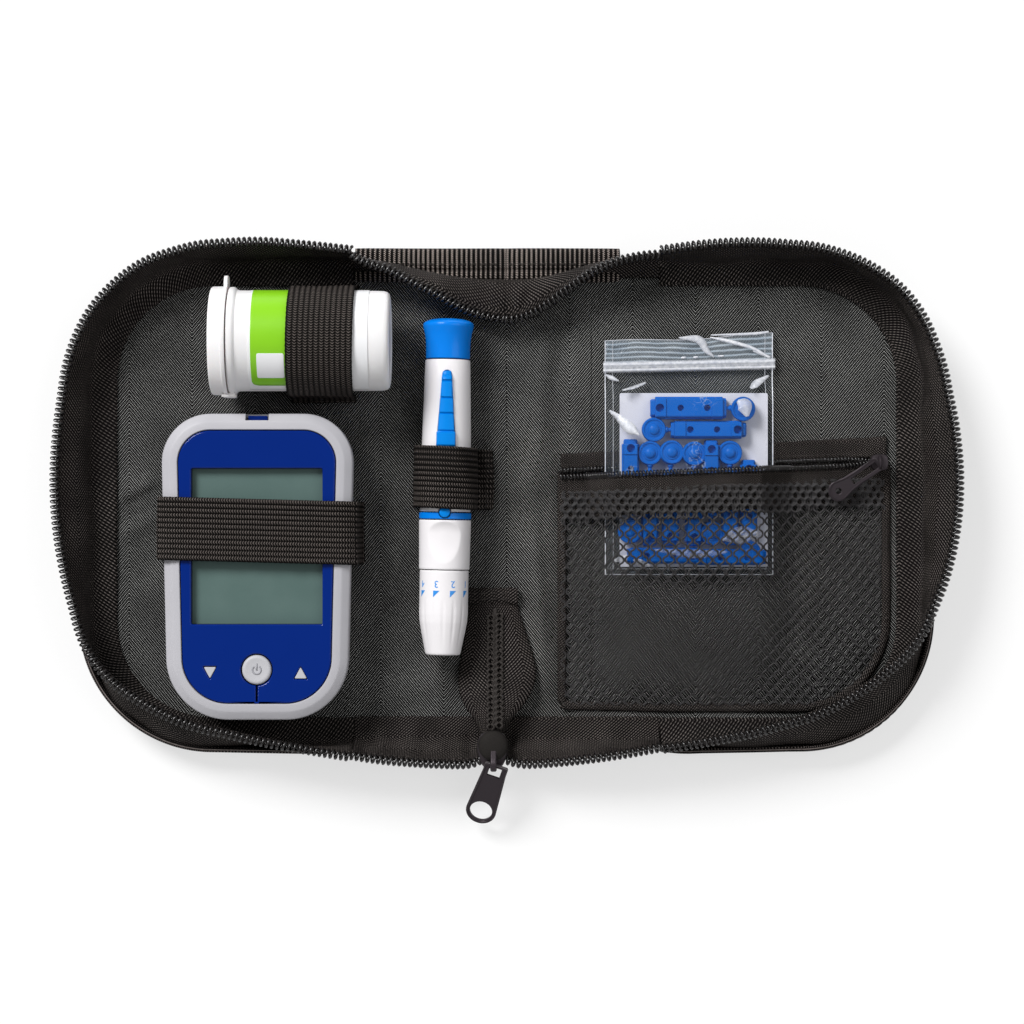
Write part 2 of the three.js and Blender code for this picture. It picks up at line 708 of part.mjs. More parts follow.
// The leaf at the zip's closed end, narrow at the slider and wide where it lies on the lining
function zipTailTape() {
  const lower = [];
  const upper = [];
  tailStations.forEach((station) => {
    const z = spineTop + station.lift;
    const xs = tailAcrossShares.map((share) => station.x + share * station.width);
    lower.push(xs.map((x) => new THREE.Vector3(x, station.y, z)));
    upper.push(xs.map((x) => new THREE.Vector3(x, station.y, z + tail.thickness)));
  });
  const end = tailStations[tailStations.length - 1];
  const half = end.width / 2;
  const base = spineTop + hug;
  const [hemBack, hemTop] = [end.y + tail.hemDepth, base + tail.hemHeight];
  const hem = block(end.x - half, end.y - hug, base, end.x + half, hemBack, hemTop);
  return join(sheet(lower, upper), hem);
}

function zipTailChain() {
  const lower = [];
  const upper = [];
  tailStations.forEach((station) => {
    const z = spineTop + station.lift + tail.thickness + hug;
    const half = tail.chainWidth / 2;
    const xs = [tail.chainX - half, tail.chainX + half];
    const y = Math.min(station.y, tailStations[tailStations.length - 1].y - tail.chainEndGap);
    const lift = station.y < tailStations[1].y ? 0 : hug;
    lower.push(xs.map((x) => new THREE.Vector3(x, y, z + lift)));
    upper.push(xs.map((x) => new THREE.Vector3(x, y, z + lift + tail.chainHeight)));
  });
  return sheet(lower, upper);
}

// The glucose meter

// The meter's outline drawn in by an inset, from the top right corner round
function meterOutline(inset) {
  const points = [];
  const arc = (x, y, radius, start) => {
    for (let i = 0; i <= cornerSteps; i += 1) {
      const angle = start + (Math.PI / 2) * (i / cornerSteps);
      points.push(new THREE.Vector2(x + radius * Math.cos(angle), y + radius * Math.sin(angle)));
    }
  };
  const topX = meter.topHalf - meter.topCorner;
  const bottomX = meter.bottomHalf - meter.bottomCorner;
  const topY = meter.top - meter.topCorner;
  const bottomY = meter.bottom + meter.bottomCorner;
  arc(meter.x + topX, topY, meter.topCorner - inset, 0);
  arc(meter.x - topX, topY, meter.topCorner - inset, Math.PI / 2);
  arc(meter.x - bottomX, bottomY, meter.bottomCorner - inset, Math.PI);
  arc(meter.x + bottomX, bottomY, meter.bottomCorner - inset, (3 * Math.PI) / 2);
  return points;
}

function meterRearCase() {
  const outline = meterOutline(meter.rearInset);
  const hollow = meterOutline(meter.rearInset + meter.rearWall);
  const shell = prism(outline, meter.base, meter.split - meter.base);
  const inside = prism(hollow, meter.base + meter.rearFloor, meter.split);
  const doorHalf = battery.doorWidth / 2 + hug;
  const doorBack = battery.y + battery.doorLength / 2 + hug;
  const doorFront = battery.y - battery.doorLength / 2 - hug - battery.travel;
  const doorTop = meter.base + battery.door + hug;
  const doorBase = meter.base - overrun;
  const doorWay = block(meter.x - doorHalf, doorFront, doorBase, meter.x + doorHalf, doorBack, doorTop);
  const cellWell = post(meter.x, battery.y, battery.radius + hug, meter.base, meter.split, 24);
  return cut(shell, inside, doorWay, cellWell);
}

function meterBatteryDoor() {
  const half = battery.doorWidth / 2;
  const back = battery.y + battery.doorLength / 2;
  const front = battery.y - battery.doorLength / 2;
  return block(meter.x - half, front, meter.base, meter.x + half, back, meter.base + battery.door);
}

function meterCoinCell() {
  const base = meter.base + battery.door + hug;
  return post(meter.x, battery.y, battery.radius, base, base + battery.height, 24);
}

function meterFrontFrame() {
  const base = meter.split + hug;
  const height = meterTop - base;
  const lipBase = meterTop - meter.frameLipDepth;
  const rim = frameRimShares.map(([inset, drop]) => [inset * meter.frameLip, meterTop - drop * height]);
  const section = [
    ...rim,
    [meter.frameLip, lipBase],
    [meter.frameWall, lipBase - hug],
    [meter.frameWall, base],
  ];
  const loops = section.map(([inset]) => meterOutline(inset));
  const ringAt = (i) => section.map(([, z], j) => new THREE.Vector3(loops[j][i].x, loops[j][i].y, z));
  const rings = loops[0].map((_, i) => ringAt(i));
  const half = stripPort.width / 2 + hug;
  const notchFront = meter.top - stripPort.notchDepth;
  const notchBase = stripPort.base - hug;
  const [notchBack, notchTop] = [meter.top + overrun, meterTop + overrun];
  const notch = block(meter.x - half, notchFront, notchBase, meter.x + half, notchBack, notchTop);
  const portTop = stripPort.base + stripPort.height + hug;
  const portWay = block(meter.x - half, notchFront - overrun, notchBase, meter.x + half, meter.top, portTop);
  return cut(hoop(rings), notch, portWay);
}

function arrowPoints(x, up, grow) {
  const half = arrowButton.width / 2 + grow;
  const tall = arrowButton.height / 2 + grow;
  return [
    new THREE.Vector2(x - half, arrowButton.y - up * tall),
    new THREE.Vector2(x + half, arrowButton.y - up * tall),
    new THREE.Vector2(x, arrowButton.y + up * tall),
  ];
}

function meterFace() {
  const plate = prism(meterOutline(meter.frameLip + hug), meterFaceBase, meter.faceThickness);
  const low = meterFaceBase - overrun;
  const high = meterTop + overrun;
  const windowCut = block(lcd.left, lcd.bottom, low, lcd.right, lcd.top, high);
  const powerCut = post(meter.x, powerButton.y, powerButton.radius + hug, low, high, 24);
  const slitHalf = faceSlit.width / 2;
  const slit = block(meter.x - slitHalf, meter.bottom, low, meter.x + slitHalf, powerButton.y, high);
  const downCut = prism(arrowPoints(arrowButton.left, -1, hug), low, high - low);
  const upCut = prism(arrowPoints(arrowButton.right, 1, hug), low, high - low);
  return cut(plate, windowCut, powerCut, slit, downCut, upCut);
}

function meterLcd() {
  const top = meterFaceBase - hug;
  return block(
    lcd.left - lcd.margin, lcd.bottom - lcd.margin, top - lcd.thickness,
    lcd.right + lcd.margin, lcd.top + lcd.margin, top,
  );
}

function meterCircuitBoard() {
  return prism(meterOutline(board.inset), board.base, board.thickness);
}

function meterPowerButton() {
  const top = meterFaceTop + powerButton.proud;
  const base = top - powerButton.height;
  const profile = [
    [0, base - powerButton.stemLength],
    [powerButton.stem, base - powerButton.stemLength],
    [powerButton.stem, base],
    [powerButton.radius, base],
    [powerButton.radius, top - powerButton.dome],
    [powerButton.radius - powerButton.dome, top],
    [0, top],
  ];
  return turned(profile, 24).rotateX(Math.PI / 2).translate(meter.x, powerButton.y, 0);
}

function meterArrowButton(x, up) {
  const top = meterFaceTop + arrowButton.proud;
  return prism(arrowPoints(x, up, 0), top - arrowButton.depth, arrowButton.depth);
}

function meterStripPort() {
  const half = stripPort.width / 2;
  const front = meter.top - stripPort.recess;
  const body = block(
    meter.x - half, front - stripPort.length, stripPort.base,
    meter.x + half, front, stripPort.base + stripPort.height,
  );
  const middle = stripPort.base + stripPort.height / 2;
  const slotHalf = stripPort.slotWidth / 2;
  const slot = block(
    meter.x - slotHalf, front - stripPort.slotDepth, middle - stripPort.slotHeight / 2,
    meter.x + slotHalf, front + overrun, middle + stripPort.slotHeight / 2,
  );
  return cut(body, slot);
}

// The elastics

// A band bent along a line in one plane, between two ends along the other direction
function band(line, thickness, from, to, place) {
  const outer = shifted(line, thickness);
  const inner = [from, to].map((end) => line.map(([a, z]) => place(a, z, end)));
  const out = [from, to].map((end) => outer.map(([a, z]) => place(a, z, end)));
  return sheet(inner, out);
}

function meterStrapBand() {
  const half = Math.max(meter.topHalf, meter.bottomHalf) + hug;
  const top = meterTop + hug;
  const lip = meter.frameLip;
  const bends = strapBendShares.map(([inset, drop]) => [half - inset * lip, top - drop * lip]);
  const rightSide = [
    [half + meterStrap.foot, floorTop],
    [half + hug, floorTop + meterStrap.footHeight],
    [half, top - meterStrap.shoulderDrop],
    ...bends,
  ];
  const leftSide = rightSide.map(([x, z]) => [-x, z]).reverse();
  const line = [...rightSide, ...leftSide].map(([x, z]) => [meter.x + x, z]);
  const place = (x, z, y) => new THREE.Vector3(x, y, Math.max(z, floorTop));
  return band(line.reverse(), meterStrap.thickness, meterStrap.bottom, meterStrap.top, place);
}

// An arch over a lying cylinder, down to two feet
function archLine(middle, axisHeight, radius, footLeft, footRight, base, sides) {
  const line = [[footLeft, base]];
  for (let i = 0; i <= sides; i += 1) {
    const angle = Math.PI * (1 - i / sides);
    line.push([middle + radius * Math.cos(angle), axisHeight + radius * Math.sin(angle)]);
  }
  line.push([footRight, base]);
  return line;
}

function vialStrapBand() {
  const inner = vial.radius + hug;
  const foot = inner + vialStrap.foot;
  const line = archLine(vial.y, vial.z, inner, vial.y - foot, vial.y + foot, floorTop, vialStrap.sides);
  const place = (y, z, x) => new THREE.Vector3(x, y, Math.max(z, floorTop));
  return band(line, vialStrap.thickness, vialStrap.left, vialStrap.right, place);
}

// The pen's loop ends on the right in a flat tail that is sewn to the spine
function penStrapBand() {
  const base = floorTop;
  const feet = [penStrap.footLeft, penStrap.footRight];
  const line = archLine(pen.x, pen.z, penStrap.inner, ...feet, base, penStrap.sides);
  const place = (x, z, y) => new THREE.Vector3(x, y, Math.max(z, base));
  const arch = band(line, penStrap.thickness, penStrap.bottom, penStrap.top, place);
  const tailTop = base + penStrap.thickness * 2;
  const flatStart = penStrap.footRight - hug;
  const flat = block(flatStart, penStrap.bottom, spineTop, penStrap.tailEnd, penStrap.top, tailTop);
  return join(arch, flat);
}

// The vial

// Lays a piece that was turned about Y along X, at the vial's axis
function layVial(geometry) {
  return geometry.rotateZ(-Math.PI / 2).translate(0, vial.y, vial.z);
}

function vialBody() {
  const inner = vial.radius - vial.wall;
  const profile = [
    [0, vial.bottom],
    [vial.radius - vial.wall / 2, vial.bottom],
    [vial.radius, vial.bottom - vial.wall / 2],
    [vial.radius, vial.mouth + vial.collarLength],
    [vial.collar, vial.mouth + vial.collarLength / 2],
    [vial.collar, vial.mouth],
    [inner, vial.mouth],
    [inner, vial.bottom - vial.floor],
    [0, vial.bottom - vial.floor],
  ];
  return layVial(turned(profile, vial.sides));
}

function vialLid() {
  const plugIn = lid.plug - lid.plugWall;
  const seat = vial.mouth - hug;
  const profile = [
    [0, lid.outer],
    [lid.radius - lid.plugWall / 2, lid.outer],
    [lid.radius, lid.outer + lid.plugWall / 2],
    [lid.radius, lid.flange],
    [lid.flangeRadius, lid.flange],
    [lid.flangeRadius, seat],
    [lid.plug, seat],
    [lid.plug, vial.mouth + lid.plugLength],
    [plugIn, vial.mouth + lid.plugLength],
    [plugIn, seat - lid.plugWall],
    [0, seat - lid.plugWall],
  ];
  const cap = layVial(turned(profile, vial.sides));
  const half = lid.tabWidth / 2;
  const tab = block(
    seat - lid.tabThickness, vial.y + lid.radius - overrun, vial.z - half,
    seat, vial.y + lid.tabReach, vial.z + half,
  );
  return join(cap, tab);
}

function vialDesiccantLiner() {
  const outer = vial.radius - vial.wall - hug;
  const inner = outer - liner.thickness;
  const end = vial.bottom - vial.floor - hug;
  const section = [[inner, end], [outer, end], [outer, liner.start], [inner, liner.start]];
  return layVial(turnedRing(section, vial.sides));
}

function vialTestStrips() {
  const room = vial.radius - vial.wall - hug * 2 - liner.thickness;
  const facet = room * Math.cos(Math.PI / vial.sides);
  const half = strips.stack / 2;
  const base = vial.z - Math.sqrt(facet ** 2 - half ** 2);
  const end = strips.start + strips.length;
  return block(strips.start, vial.y - half, base, end, vial.y + half, base + strips.width);
}

// The lancing pen. Its pieces are made along Y from the origin and then laid in place.
function layPen(geometry) {
  return geometry.rotateZ(THREE.MathUtils.degToRad(pen.turn)).translate(pen.x, pen.y, pen.z);
}

function penCockingCap() {
  const start = pen.capBase + hug;
  const profile = [
    [0, pen.capBase - pen.rodLength],
    [pen.rod, pen.capBase - pen.rodLength],
    [pen.rod, start],
    [pen.capRadius, start],
    [pen.capFlare, pen.backEnd - pen.wall],
    [pen.capFlare - pen.wall / 2, pen.backEnd],
    [0, pen.backEnd],
  ];
  return layPen(turned(profile, pen.sides));
}

// A slot that follows the ejector slider, grown by a clearance and lengthened for its travel
function ejectorOutline(grow, travel) {
  const front = ejector.frontWidth / 2 + grow;
  const back = ejector.backWidth / 2 + grow;
  return [
    new THREE.Vector2(-front, ejector.front - grow - travel),
    new THREE.Vector2(front, ejector.front - grow - travel),
    new THREE.Vector2(front, ejector.front),
    new THREE.Vector2(back, ejector.back + grow),
    new THREE.Vector2(-back, ejector.back + grow),
    new THREE.Vector2(-front, ejector.front),
  ];
}

function penBarrel() {
  const profile = [
    [pen.rod + hug, pen.capBase],
    [pen.backRadius, pen.capBase],
    [pen.frontRadius, pen.barrelFront],
    [pen.bore, pen.barrelFront],
    [pen.bore - pen.wall / 2, pen.capBase - pen.endWall],
    [pen.rod + hug, pen.capBase - pen.endWall],
  ];
  const tube = turnedRing(profile, pen.sides);
  const slot = prism(ejectorOutline(hug, ejector.travel), 0, pen.frontRadius + overrun);
  const hole = post(0, release.y, release.radius + hug, 0, pen.frontRadius + overrun, 14);
  return layPen(cut(tube, slot, hole));
}

function penEjectorSlider() {
  return layPen(prism(ejectorOutline(0, 0), ejector.root, ejector.top - ejector.root));
}

function penReleaseButton() {
  return layPen(post(0, release.y, release.radius, release.root, release.top, 14));
}

function penRing() {
  const back = pen.barrelFront - hug;
  const profile = [
    [pen.bore, back],
    [pen.ringRadius, back],
    [pen.ringRadius, pen.ringFront],
    [pen.bore, pen.ringFront],
  ];
  const hole = post(0, release.y, release.radius + hug, 0, pen.ringRadius + overrun, 14);
  return layPen(cut(turnedRing(profile, pen.sides), hole));
}

function penNoseSleeve() {
  const back = pen.ringFront - hug;
  const profile = [
    [pen.bore, back],
    [pen.ringRadius, back],
    [pen.sleeveRadius, pen.sleeveFront],
    [pen.bore, pen.sleeveFront],
  ];
  const bowl = new THREE.SphereGeometry(1, 16, 10);
  bowl.scale(recess.width / 2, recess.length / 2, recess.depth).translate(0, recess.y, pen.sleeveRadius);
  return layPen(cut(turnedRing(profile, pen.sides), bowl));
}

function penDepthDial() {
  const back = pen.sleeveFront - hug;
  const shoulder = THREE.MathUtils.lerp(back, pen.tip, dialTaperShare);
  const profile = [
    [pen.bore, back],
    [pen.dialRadius, back],
    [pen.dialRadius, shoulder],
    [pen.tipRadius, pen.tip + pen.wall / 2],
    [pen.tipRadius - pen.wall / 2, pen.tip],
    [pen.tipHole, pen.tip],
    [pen.tipHole, pen.tip + pen.endWall],
    [pen.tipRadius - pen.wall, pen.tip + pen.endWall],
    [pen.bore, shoulder],
  ];
  return layPen(turnedRing(profile, pen.sides));
}

function penLancetHolder() {
  const needleBase = holder.front - holder.needleLength;
  const profile = [
    [0, needleBase],
    [holder.needle, needleBase],
    [holder.needle, holder.front],
    [holder.radius, holder.front],
    [holder.radius, holder.back],
    [0, holder.back],
  ];
  const rod = turned(profile, 12);
  const guide = post(0, 0, pen.bore - hug, 0, pen.wall, 16);
  guide.rotateX(Math.PI / 2).translate(0, pen.sleeveFront, 0);
  return layPen(join(rod, guide));
}

// The spring's helix about the pen's axis, with straight ends one wire thick
function springPoints() {
  const points = [];
  const steps = spring.turns * spring.turnSteps;
  for (let i = 0; i <= steps; i += 1) {
    const angle = (2 * Math.PI * i) / spring.turnSteps;
    const y = THREE.MathUtils.lerp(spring.start, spring.end, i / steps);
    points.push(new THREE.Vector3(spring.radius * Math.cos(angle), y, spring.radius * Math.sin(angle)));
  }
  return points;
}

function penSpring() {
  const points = springPoints();
  const turn = (2 * Math.PI) / spring.sides;
  const rings = points.map((point, i) => {
    const angle = (2 * Math.PI * i) / spring.turnSteps;
    const out = new THREE.Vector3(Math.cos(angle), 0, Math.sin(angle));
    const along = new THREE.Vector3(0, 1, 0);
    return Array.from({ length: spring.sides }, (_, j) => point.clone()
      .addScaledVector(out, spring.wire * Math.cos(j * turn))
      .addScaledVector(along, spring.wire * Math.sin(j * turn)));
  });
  const triangles = [];
  const size = spring.sides;
  for (let i = 0; i + 1 < rings.length; i += 1) {
    for (let j = 0; j < size; j += 1) {
      const a = i * size + j;
      const b = i * size + ((j + 1) % size);
      triangles.push(a, b, b + size, a, b + size, a + size);
    }
  }
  const last = (rings.length - 1) * size;
  for (let j = 1; j + 1 < size; j += 1) {
    triangles.push(0, j + 1, j, last, last + j, last + j + 1);
  }
  return layPen(closed(rings.flat(), triangles));
}

// The least gap between one turn of the spring and the next
function springGap() {
  const points = springPoints();
  let least = Infinity;
  points.forEach((a, i) => {
    points.slice(i + spring.turnSteps / 2).forEach((b) => {
      least = Math.min(least, a.distanceTo(b) - 2 * spring.wire);
    });
  });
  return least;
}

// The net pocket

const pocketSpan = pocket.right - pocket.left;
const bagTop = bag.base + bag.thin + bag.swell;

function pocketShare(x) {
  return (x - pocket.left) / pocketSpan;
}

function lowerCoilY(x) {
  return THREE.MathUtils.lerp(pocket.lowerCoilLeft, pocket.lowerCoilRight, pocketShare(x));
}

// Height of the net's underside at a place in the pocket
function netHeight(x, y) {
  const top = lowerCoilY(x);
  const fall = tableAt(pocketFallShares, (top - y) / (top - pocket.bottom));
  const swell = bagTop + hug * 2 - floorTop - hug;
  return floorTop + hug + swell * tableAt(pocketArchShares, pocketShare(x)) * fall;
}

function pocketUpperZip() {
  const ends = [pocket.left, pocket.right];
  const edge = [pocket.upperTapeLeft, pocket.upperTapeRight];
  const coil = [pocket.upperCoilLeft, pocket.upperCoilRight];
  const grid = (z) => ends.map((x, i) => [
    new THREE.Vector3(x, edge[i], z),
    new THREE.Vector3(x, coil[i], z),
  ]);
  const tape = sheet(grid(floorTop), grid(floorTop + tapeThickness));
  const coilHeight = floorTop + tapeThickness + hug;
  const rim = ends.map((x, i) => new THREE.Vector3(x, coil[i], coilHeight));
  return join(tape, bead(rim, pocket.coil, 2));
}

function pocketLowerZip() {
  const lower = [];
  const upper = [];
  const rim = [];
  pocketArchShares.forEach(([share]) => {
    const x = THREE.MathUtils.lerp(pocket.left, pocket.right, share);
    const y = lowerCoilY(x);
    const z = netHeight(x, y);
    lower.push([new THREE.Vector3(x, y, z), new THREE.Vector3(x, y - pocket.tapeWidth, z)]);
    upper.push([
      new THREE.Vector3(x, y, z + pocket.tape),
      new THREE.Vector3(x, y - pocket.tapeWidth, z + pocket.tape),
    ]);
    rim.push(new THREE.Vector3(x, y, z + pocket.tape / 2 + hug));
  });
  return join(sheet(lower, upper), bead(rim, pocket.coil, rim.length * 2));
}

// The pocket's bottom seam, which rises round the corner
function pocketSeamY(x) {
  const past = Math.max(x - pocket.right + pocket.corner, 0);
  return pocket.bottom + pocket.corner - Math.sqrt(pocket.corner ** 2 - past ** 2);
}

// The net: rows of staggered diamond gaps inside a plain border, under a folded hem
function pocketMesh() {
  const hemTop = (x) => lowerCoilY(x) - pocket.tapeWidth - hug;
  const hemEnd = (x) => hemTop(x) - pocket.hem;
  const across = pocketArchShares.map(([share]) => THREE.MathUtils.lerp(pocket.left, pocket.right, share));
  for (let i = 1; i < cornerSteps; i += 1) {
    const angle = (Math.PI / 2) * (i / cornerSteps);
    across.push(pocket.right - pocket.corner + pocket.corner * Math.sin(angle));
  }
  across.sort((a, b) => a - b);
  const lift = (x, y, z) => new THREE.Vector3(x, y, netHeight(x, y) + z);
  const hemGrid = (z) => across.map((x) => [lift(x, hemTop(x), z), lift(x, hemEnd(x), z)]);
  const yarn = (pocket.hemThickness - pocket.net) / 2;
  const netGrid = (z) => across.map((x) => pocketFallShares.map(([share]) => (
    lift(x, THREE.MathUtils.lerp(hemTop(x) - hug, pocketSeamY(x), share), z)
  )));
  const hem = sheet(hemGrid(0), hemGrid(pocket.hemThickness));
  const net = sheet(netGrid(yarn), netGrid(yarn + pocket.net));
  const holes = netHoles((x) => hemEnd(x) - pocket.border);
  const gaps = new THREE.ExtrudeGeometry(holes.map((hole) => new THREE.Shape(hole)), {
    depth: bagTop + pocket.hem,
    bevelEnabled: false,
  });
  return { geometry: join(hem, cut(net, gaps)), gaps: holes.length };
}

// The net's diamond gaps, below a line across the pocket and inside its round corner
function netHoles(topY) {
  const holes = [];
  const halfWidth = pocket.holeWidth / 2;
  const halfHeight = pocket.holeHeight / 2;
  const cornerX = pocket.right - pocket.corner;
  const cornerY = pocket.bottom + pocket.corner;
  const rows = Math.floor((topY(pocket.right) - pocket.bottom) / pocket.rowPitch);
  const columns = Math.floor(pocketSpan / pocket.holePitch);
  for (let row = 0; row < rows; row += 1) {
    const y = pocket.bottom + pocket.border + halfHeight + row * pocket.rowPitch;
    for (let column = 0; column < columns; column += 1) {
      const x = pocket.left + pocket.border + halfWidth + (column + (row % 2) / 2) * pocket.holePitch;
      const away = Math.hypot(Math.max(x + halfWidth - cornerX, 0), Math.max(cornerY - y + halfHeight, 0));
      const inCorner = x > cornerX && y < cornerY && away + pocket.border > pocket.corner;
      const outside = x + halfWidth + pocket.border > pocket.right || y + halfHeight > topY(x);
      if (!inCorner && !outside) {
        holes.push([
          new THREE.Vector2(x - halfWidth, y),
          new THREE.Vector2(x, y + halfHeight),
          new THREE.Vector2(x + halfWidth, y),
          new THREE.Vector2(x, y - halfHeight),
        ]);
      }
    }
  }
  return holes;
}

function pocketSliderBody() {
  const halfX = pocketSlider.length / 2;
  const halfY = pocketSlider.width / 2;
  const { x, y, base } = pocketSlider;
  const top = base + pocketSlider.height;
  const body = block(x - halfX, y - halfY, base, x + halfX, y + halfY, top);
  const arch = bailArch(pocketBail).rotateZ(THREE.MathUtils.degToRad(pocketPull.yaw)).translate(x, y, top);
  return join(body, arch);
}

function pocketPullTab() {
  const back = pocketBail.length / 2 - pocketBail.wire - pocketPull.bar;
  const yaw = THREE.MathUtils.degToRad(pocketPull.yaw);
  const rise = pocketSlider.base + pocketSlider.height + (pocketBail.height - pocketBail.wire) / 2;
  return pullTab(pocketPull).translate(
    pocketSlider.x + back * Math.sin(yaw), pocketSlider.y - back * Math.cos(yaw), rise,
  );
}

// The bag of lancets

// A flat bag between its sides and from its lip to its bottom seam, grown or drawn in by an amount
function bagShape(grow, lip) {
  const places = [...bagAlongShares, ...bagRiseShares].map(([share]) => share);
  const along = [...new Set(places)].sort((a, b) => a - b);
  const lower = [];
  const upper = [];
  bagAcrossShares.forEach(([across, thick]) => {
    const x = THREE.MathUtils.lerp(bag.left - grow, bag.right + grow, across);
    const bottoms = [];
    const tops = [];
    along.forEach((share) => {
      const y = THREE.MathUtils.lerp(lip, bag.bottom - grow, share);
      const base = THREE.MathUtils.lerp(bag.lipBase, bag.base, tableAt(bagRiseShares, share));
      const thickness = bag.thin + bag.swell * thick * tableAt(bagAlongShares, share);
      bottoms.push(new THREE.Vector3(x, y, base - grow));
      tops.push(new THREE.Vector3(x, y, base + thickness + grow));
    });
    lower.push(bottoms);
    upper.push(tops);
  });
  return sheet(lower, upper);
}

function bagFilm() {
  return cut(bagShape(0, bag.lip), bagShape(-bag.film, bag.lip + overrun));
}

function bagCard() {
  return block(card.left, card.bottom, card.base, card.right, card.top, card.base + card.thickness);
}

// A lancet that lies along X: a grooved body, a neck and a flat round cap
function lancetPiece({ x, y, way, width }) {
  const half = lancet.length / 2;
  const top = lancet.base + lancet.height;
  const body = block(x - half, y - width / 2, lancet.base, x + half, y + width / 2, top);
  const groove = block(
    x - half + lancet.groove, y - lancet.groove / 2, top - lancet.groove,
    x + half - lancet.groove, y + lancet.groove / 2, top + overrun,
  );
  const capX = x + way * (half + lancet.neck + lancet.cap);
  const capBase = lancet.base + lancet.capRise;
  const cap = post(capX, y, lancet.cap, capBase, capBase + lancet.capThickness, lancet.sides);
  const [left, right] = [x + way * (half - overrun), capX].sort((a, b) => a - b);
  const neckHalf = lancet.neckThickness / 2;
  const neckBase = capBase + (lancet.capThickness - lancet.neckThickness) / 2;
  const neck = block(left, y - neckHalf, neckBase, right, y + neckHalf, neckBase + lancet.neckThickness);
  return join(cut(body, groove), cap, neck);
}

// The lancets under the top two, joined where they lie on each other
function lancetPile() {
  const top = lancet.base + pile.height;
  const ledge = top + lancet.capThickness;
  const mass = block(pile.left, pile.bottom, lancet.base, pile.right, pile.top, top);
  const pieces = [mass];
  pileDiscShares.forEach((share) => {
    const x = THREE.MathUtils.lerp(pile.left, pile.right, share);
    pieces.push(post(x, pile.discRow, lancet.cap, top - lancet.capThickness, ledge, lancet.sides));
  });
  pileBodyShares.forEach((share) => {
    const x = THREE.MathUtils.lerp(pile.left, pile.right, share);
    const half = pile.bodyWidth / 2;
    pieces.push(block(x - half, pile.discRow - pile.bodyLength, top - overrun, x + half, pile.discRow, ledge));
  });
  return join(...pieces);
}

// Finishes

function finish(color, roughness, metalness = 0, more = {}) {
  return new THREE.MeshStandardMaterial({ color, roughness, metalness, ...more });
}

const wovenCover = finish(0x1d1a19, 0.95);
const liningTwill = finish(0x17181a, 0.8);
const stiffener = finish(0x8c8378, 0.9);
const herringboneTape = finish(0x151414, 0.9);
const zipNylon = finish(0x101012, 0.35);
const elasticKnit = finish(0x1b1a19, 0.95);
const netYarn = finish(0x141417, 0.85);
const darkMetal = finish(0x2b2b2e, 0.35, 0.8);
const greyPlastic = finish(0xc9cbcf, 0.4);
const blueGloss = finish(0x002f8c, 0.15);
const displayGlass = finish(0x5f7a74, 0.25);
const boardGreen = finish(0x1f5a36, 0.5);
const buttonWhite = finish(0xdcdddf, 0.45);
const cellSteel = finish(0xb8babc, 0.3, 1);
const vialWhite = finish(0xeef0f2, 0.35);
const desiccantWhite = finish(0xe0e0dc, 0.7);
const stripWhite = finish(0xf0f0ee, 0.6);
const penWhite = finish(0xf0f0f1, 0.35);
const penBlue = finish(0x0a6ee8, 0.35);
const springSteel = finish(0x9a9ca0, 0.3, 1);
const bagClear = finish(0xdfe6ee, 0.15, 0, { transparent: true, opacity: 0.35 });
const cardWhite = finish(0xf2f2f4, 0.7);
const lancetBlue = finish(0x0a63d8, 0.35);

// The whole kit

const kit = new THREE.Group();

function add(name, geometry, material) {
  const mesh = new THREE.Mesh(geometry, material);
  mesh.name = name;
  kit.add(mesh);
}

const halves = { left: -1, right: 1 };
Object.entries(halves).forEach(([name, side]) => {
  add(`${name}_outer_cover`, outerCover(side), wovenCover);
  add(`${name}_stiffener_board`, stiffenerBoard(side), stiffener);
  add(`${name}_lining_panel`, liningPanel(side), liningTwill);
  add(`${name}_zip_tape`, zipTape(side), herringboneTape);
  add(`${name}_zip_teeth`, zipTeeth(side), zipNylon);
});

add("spine_cover", spineCover(), wovenCover);
add("spine_lining", spineLining(), liningTwill);
add("top_webbing", topWebbing(), wovenCover);
add("top_dip_tape", topDipTape(), herringboneTape);
add("top_dip_teeth", topDipTeeth(), zipNylon);
add("bottom_left_gusset", bottomGusset(-dipReach, slider.x - slider.width / 2 - hug), herringboneTape);
add("bottom_right_gusset", bottomGusset(dipReach, slider.x + slider.width / 2 + hug), herringboneTape);
add("zip_tail_tape", zipTailTape(), herringboneTape);
add("zip_tail_chain", zipTailChain(), zipNylon);
add("main_slider", mainSlider(), darkMetal);
add("main_pull_tab", mainPullTab(), darkMetal);

add("meter_strap", meterStrapBand(), elasticKnit);
add("vial_strap", vialStrapBand(), elasticKnit);
add("pen_strap", penStrapBand(), elasticKnit);

const net = pocketMesh();
add("pocket_mesh", net.geometry, netYarn);
add("pocket_upper_zip", pocketUpperZip(), zipNylon);
add("pocket_lower_zip", pocketLowerZip(), zipNylon);
add("pocket_slider", pocketSliderBody(), darkMetal);
add("pocket_pull_tab", pocketPullTab(), darkMetal);

add("meter_rear_case", meterRearCase(), greyPlastic);
add("meter_front_frame", meterFrontFrame(), greyPlastic);
add("meter_face", meterFace(), blueGloss);
add("meter_lcd", meterLcd(), displayGlass);
add("meter_circuit_board", meterCircuitBoard(), boardGreen);
add("meter_power_button", meterPowerButton(), buttonWhite);
add("meter_down_button", meterArrowButton(arrowButton.left, -1), buttonWhite);
add("meter_up_button", meterArrowButton(arrowButton.right, 1), buttonWhite);
add("meter_strip_port", meterStripPort(), blueGloss);
add("meter_battery_door", meterBatteryDoor(), greyPlastic);
add("meter_coin_cell", meterCoinCell(), cellSteel);

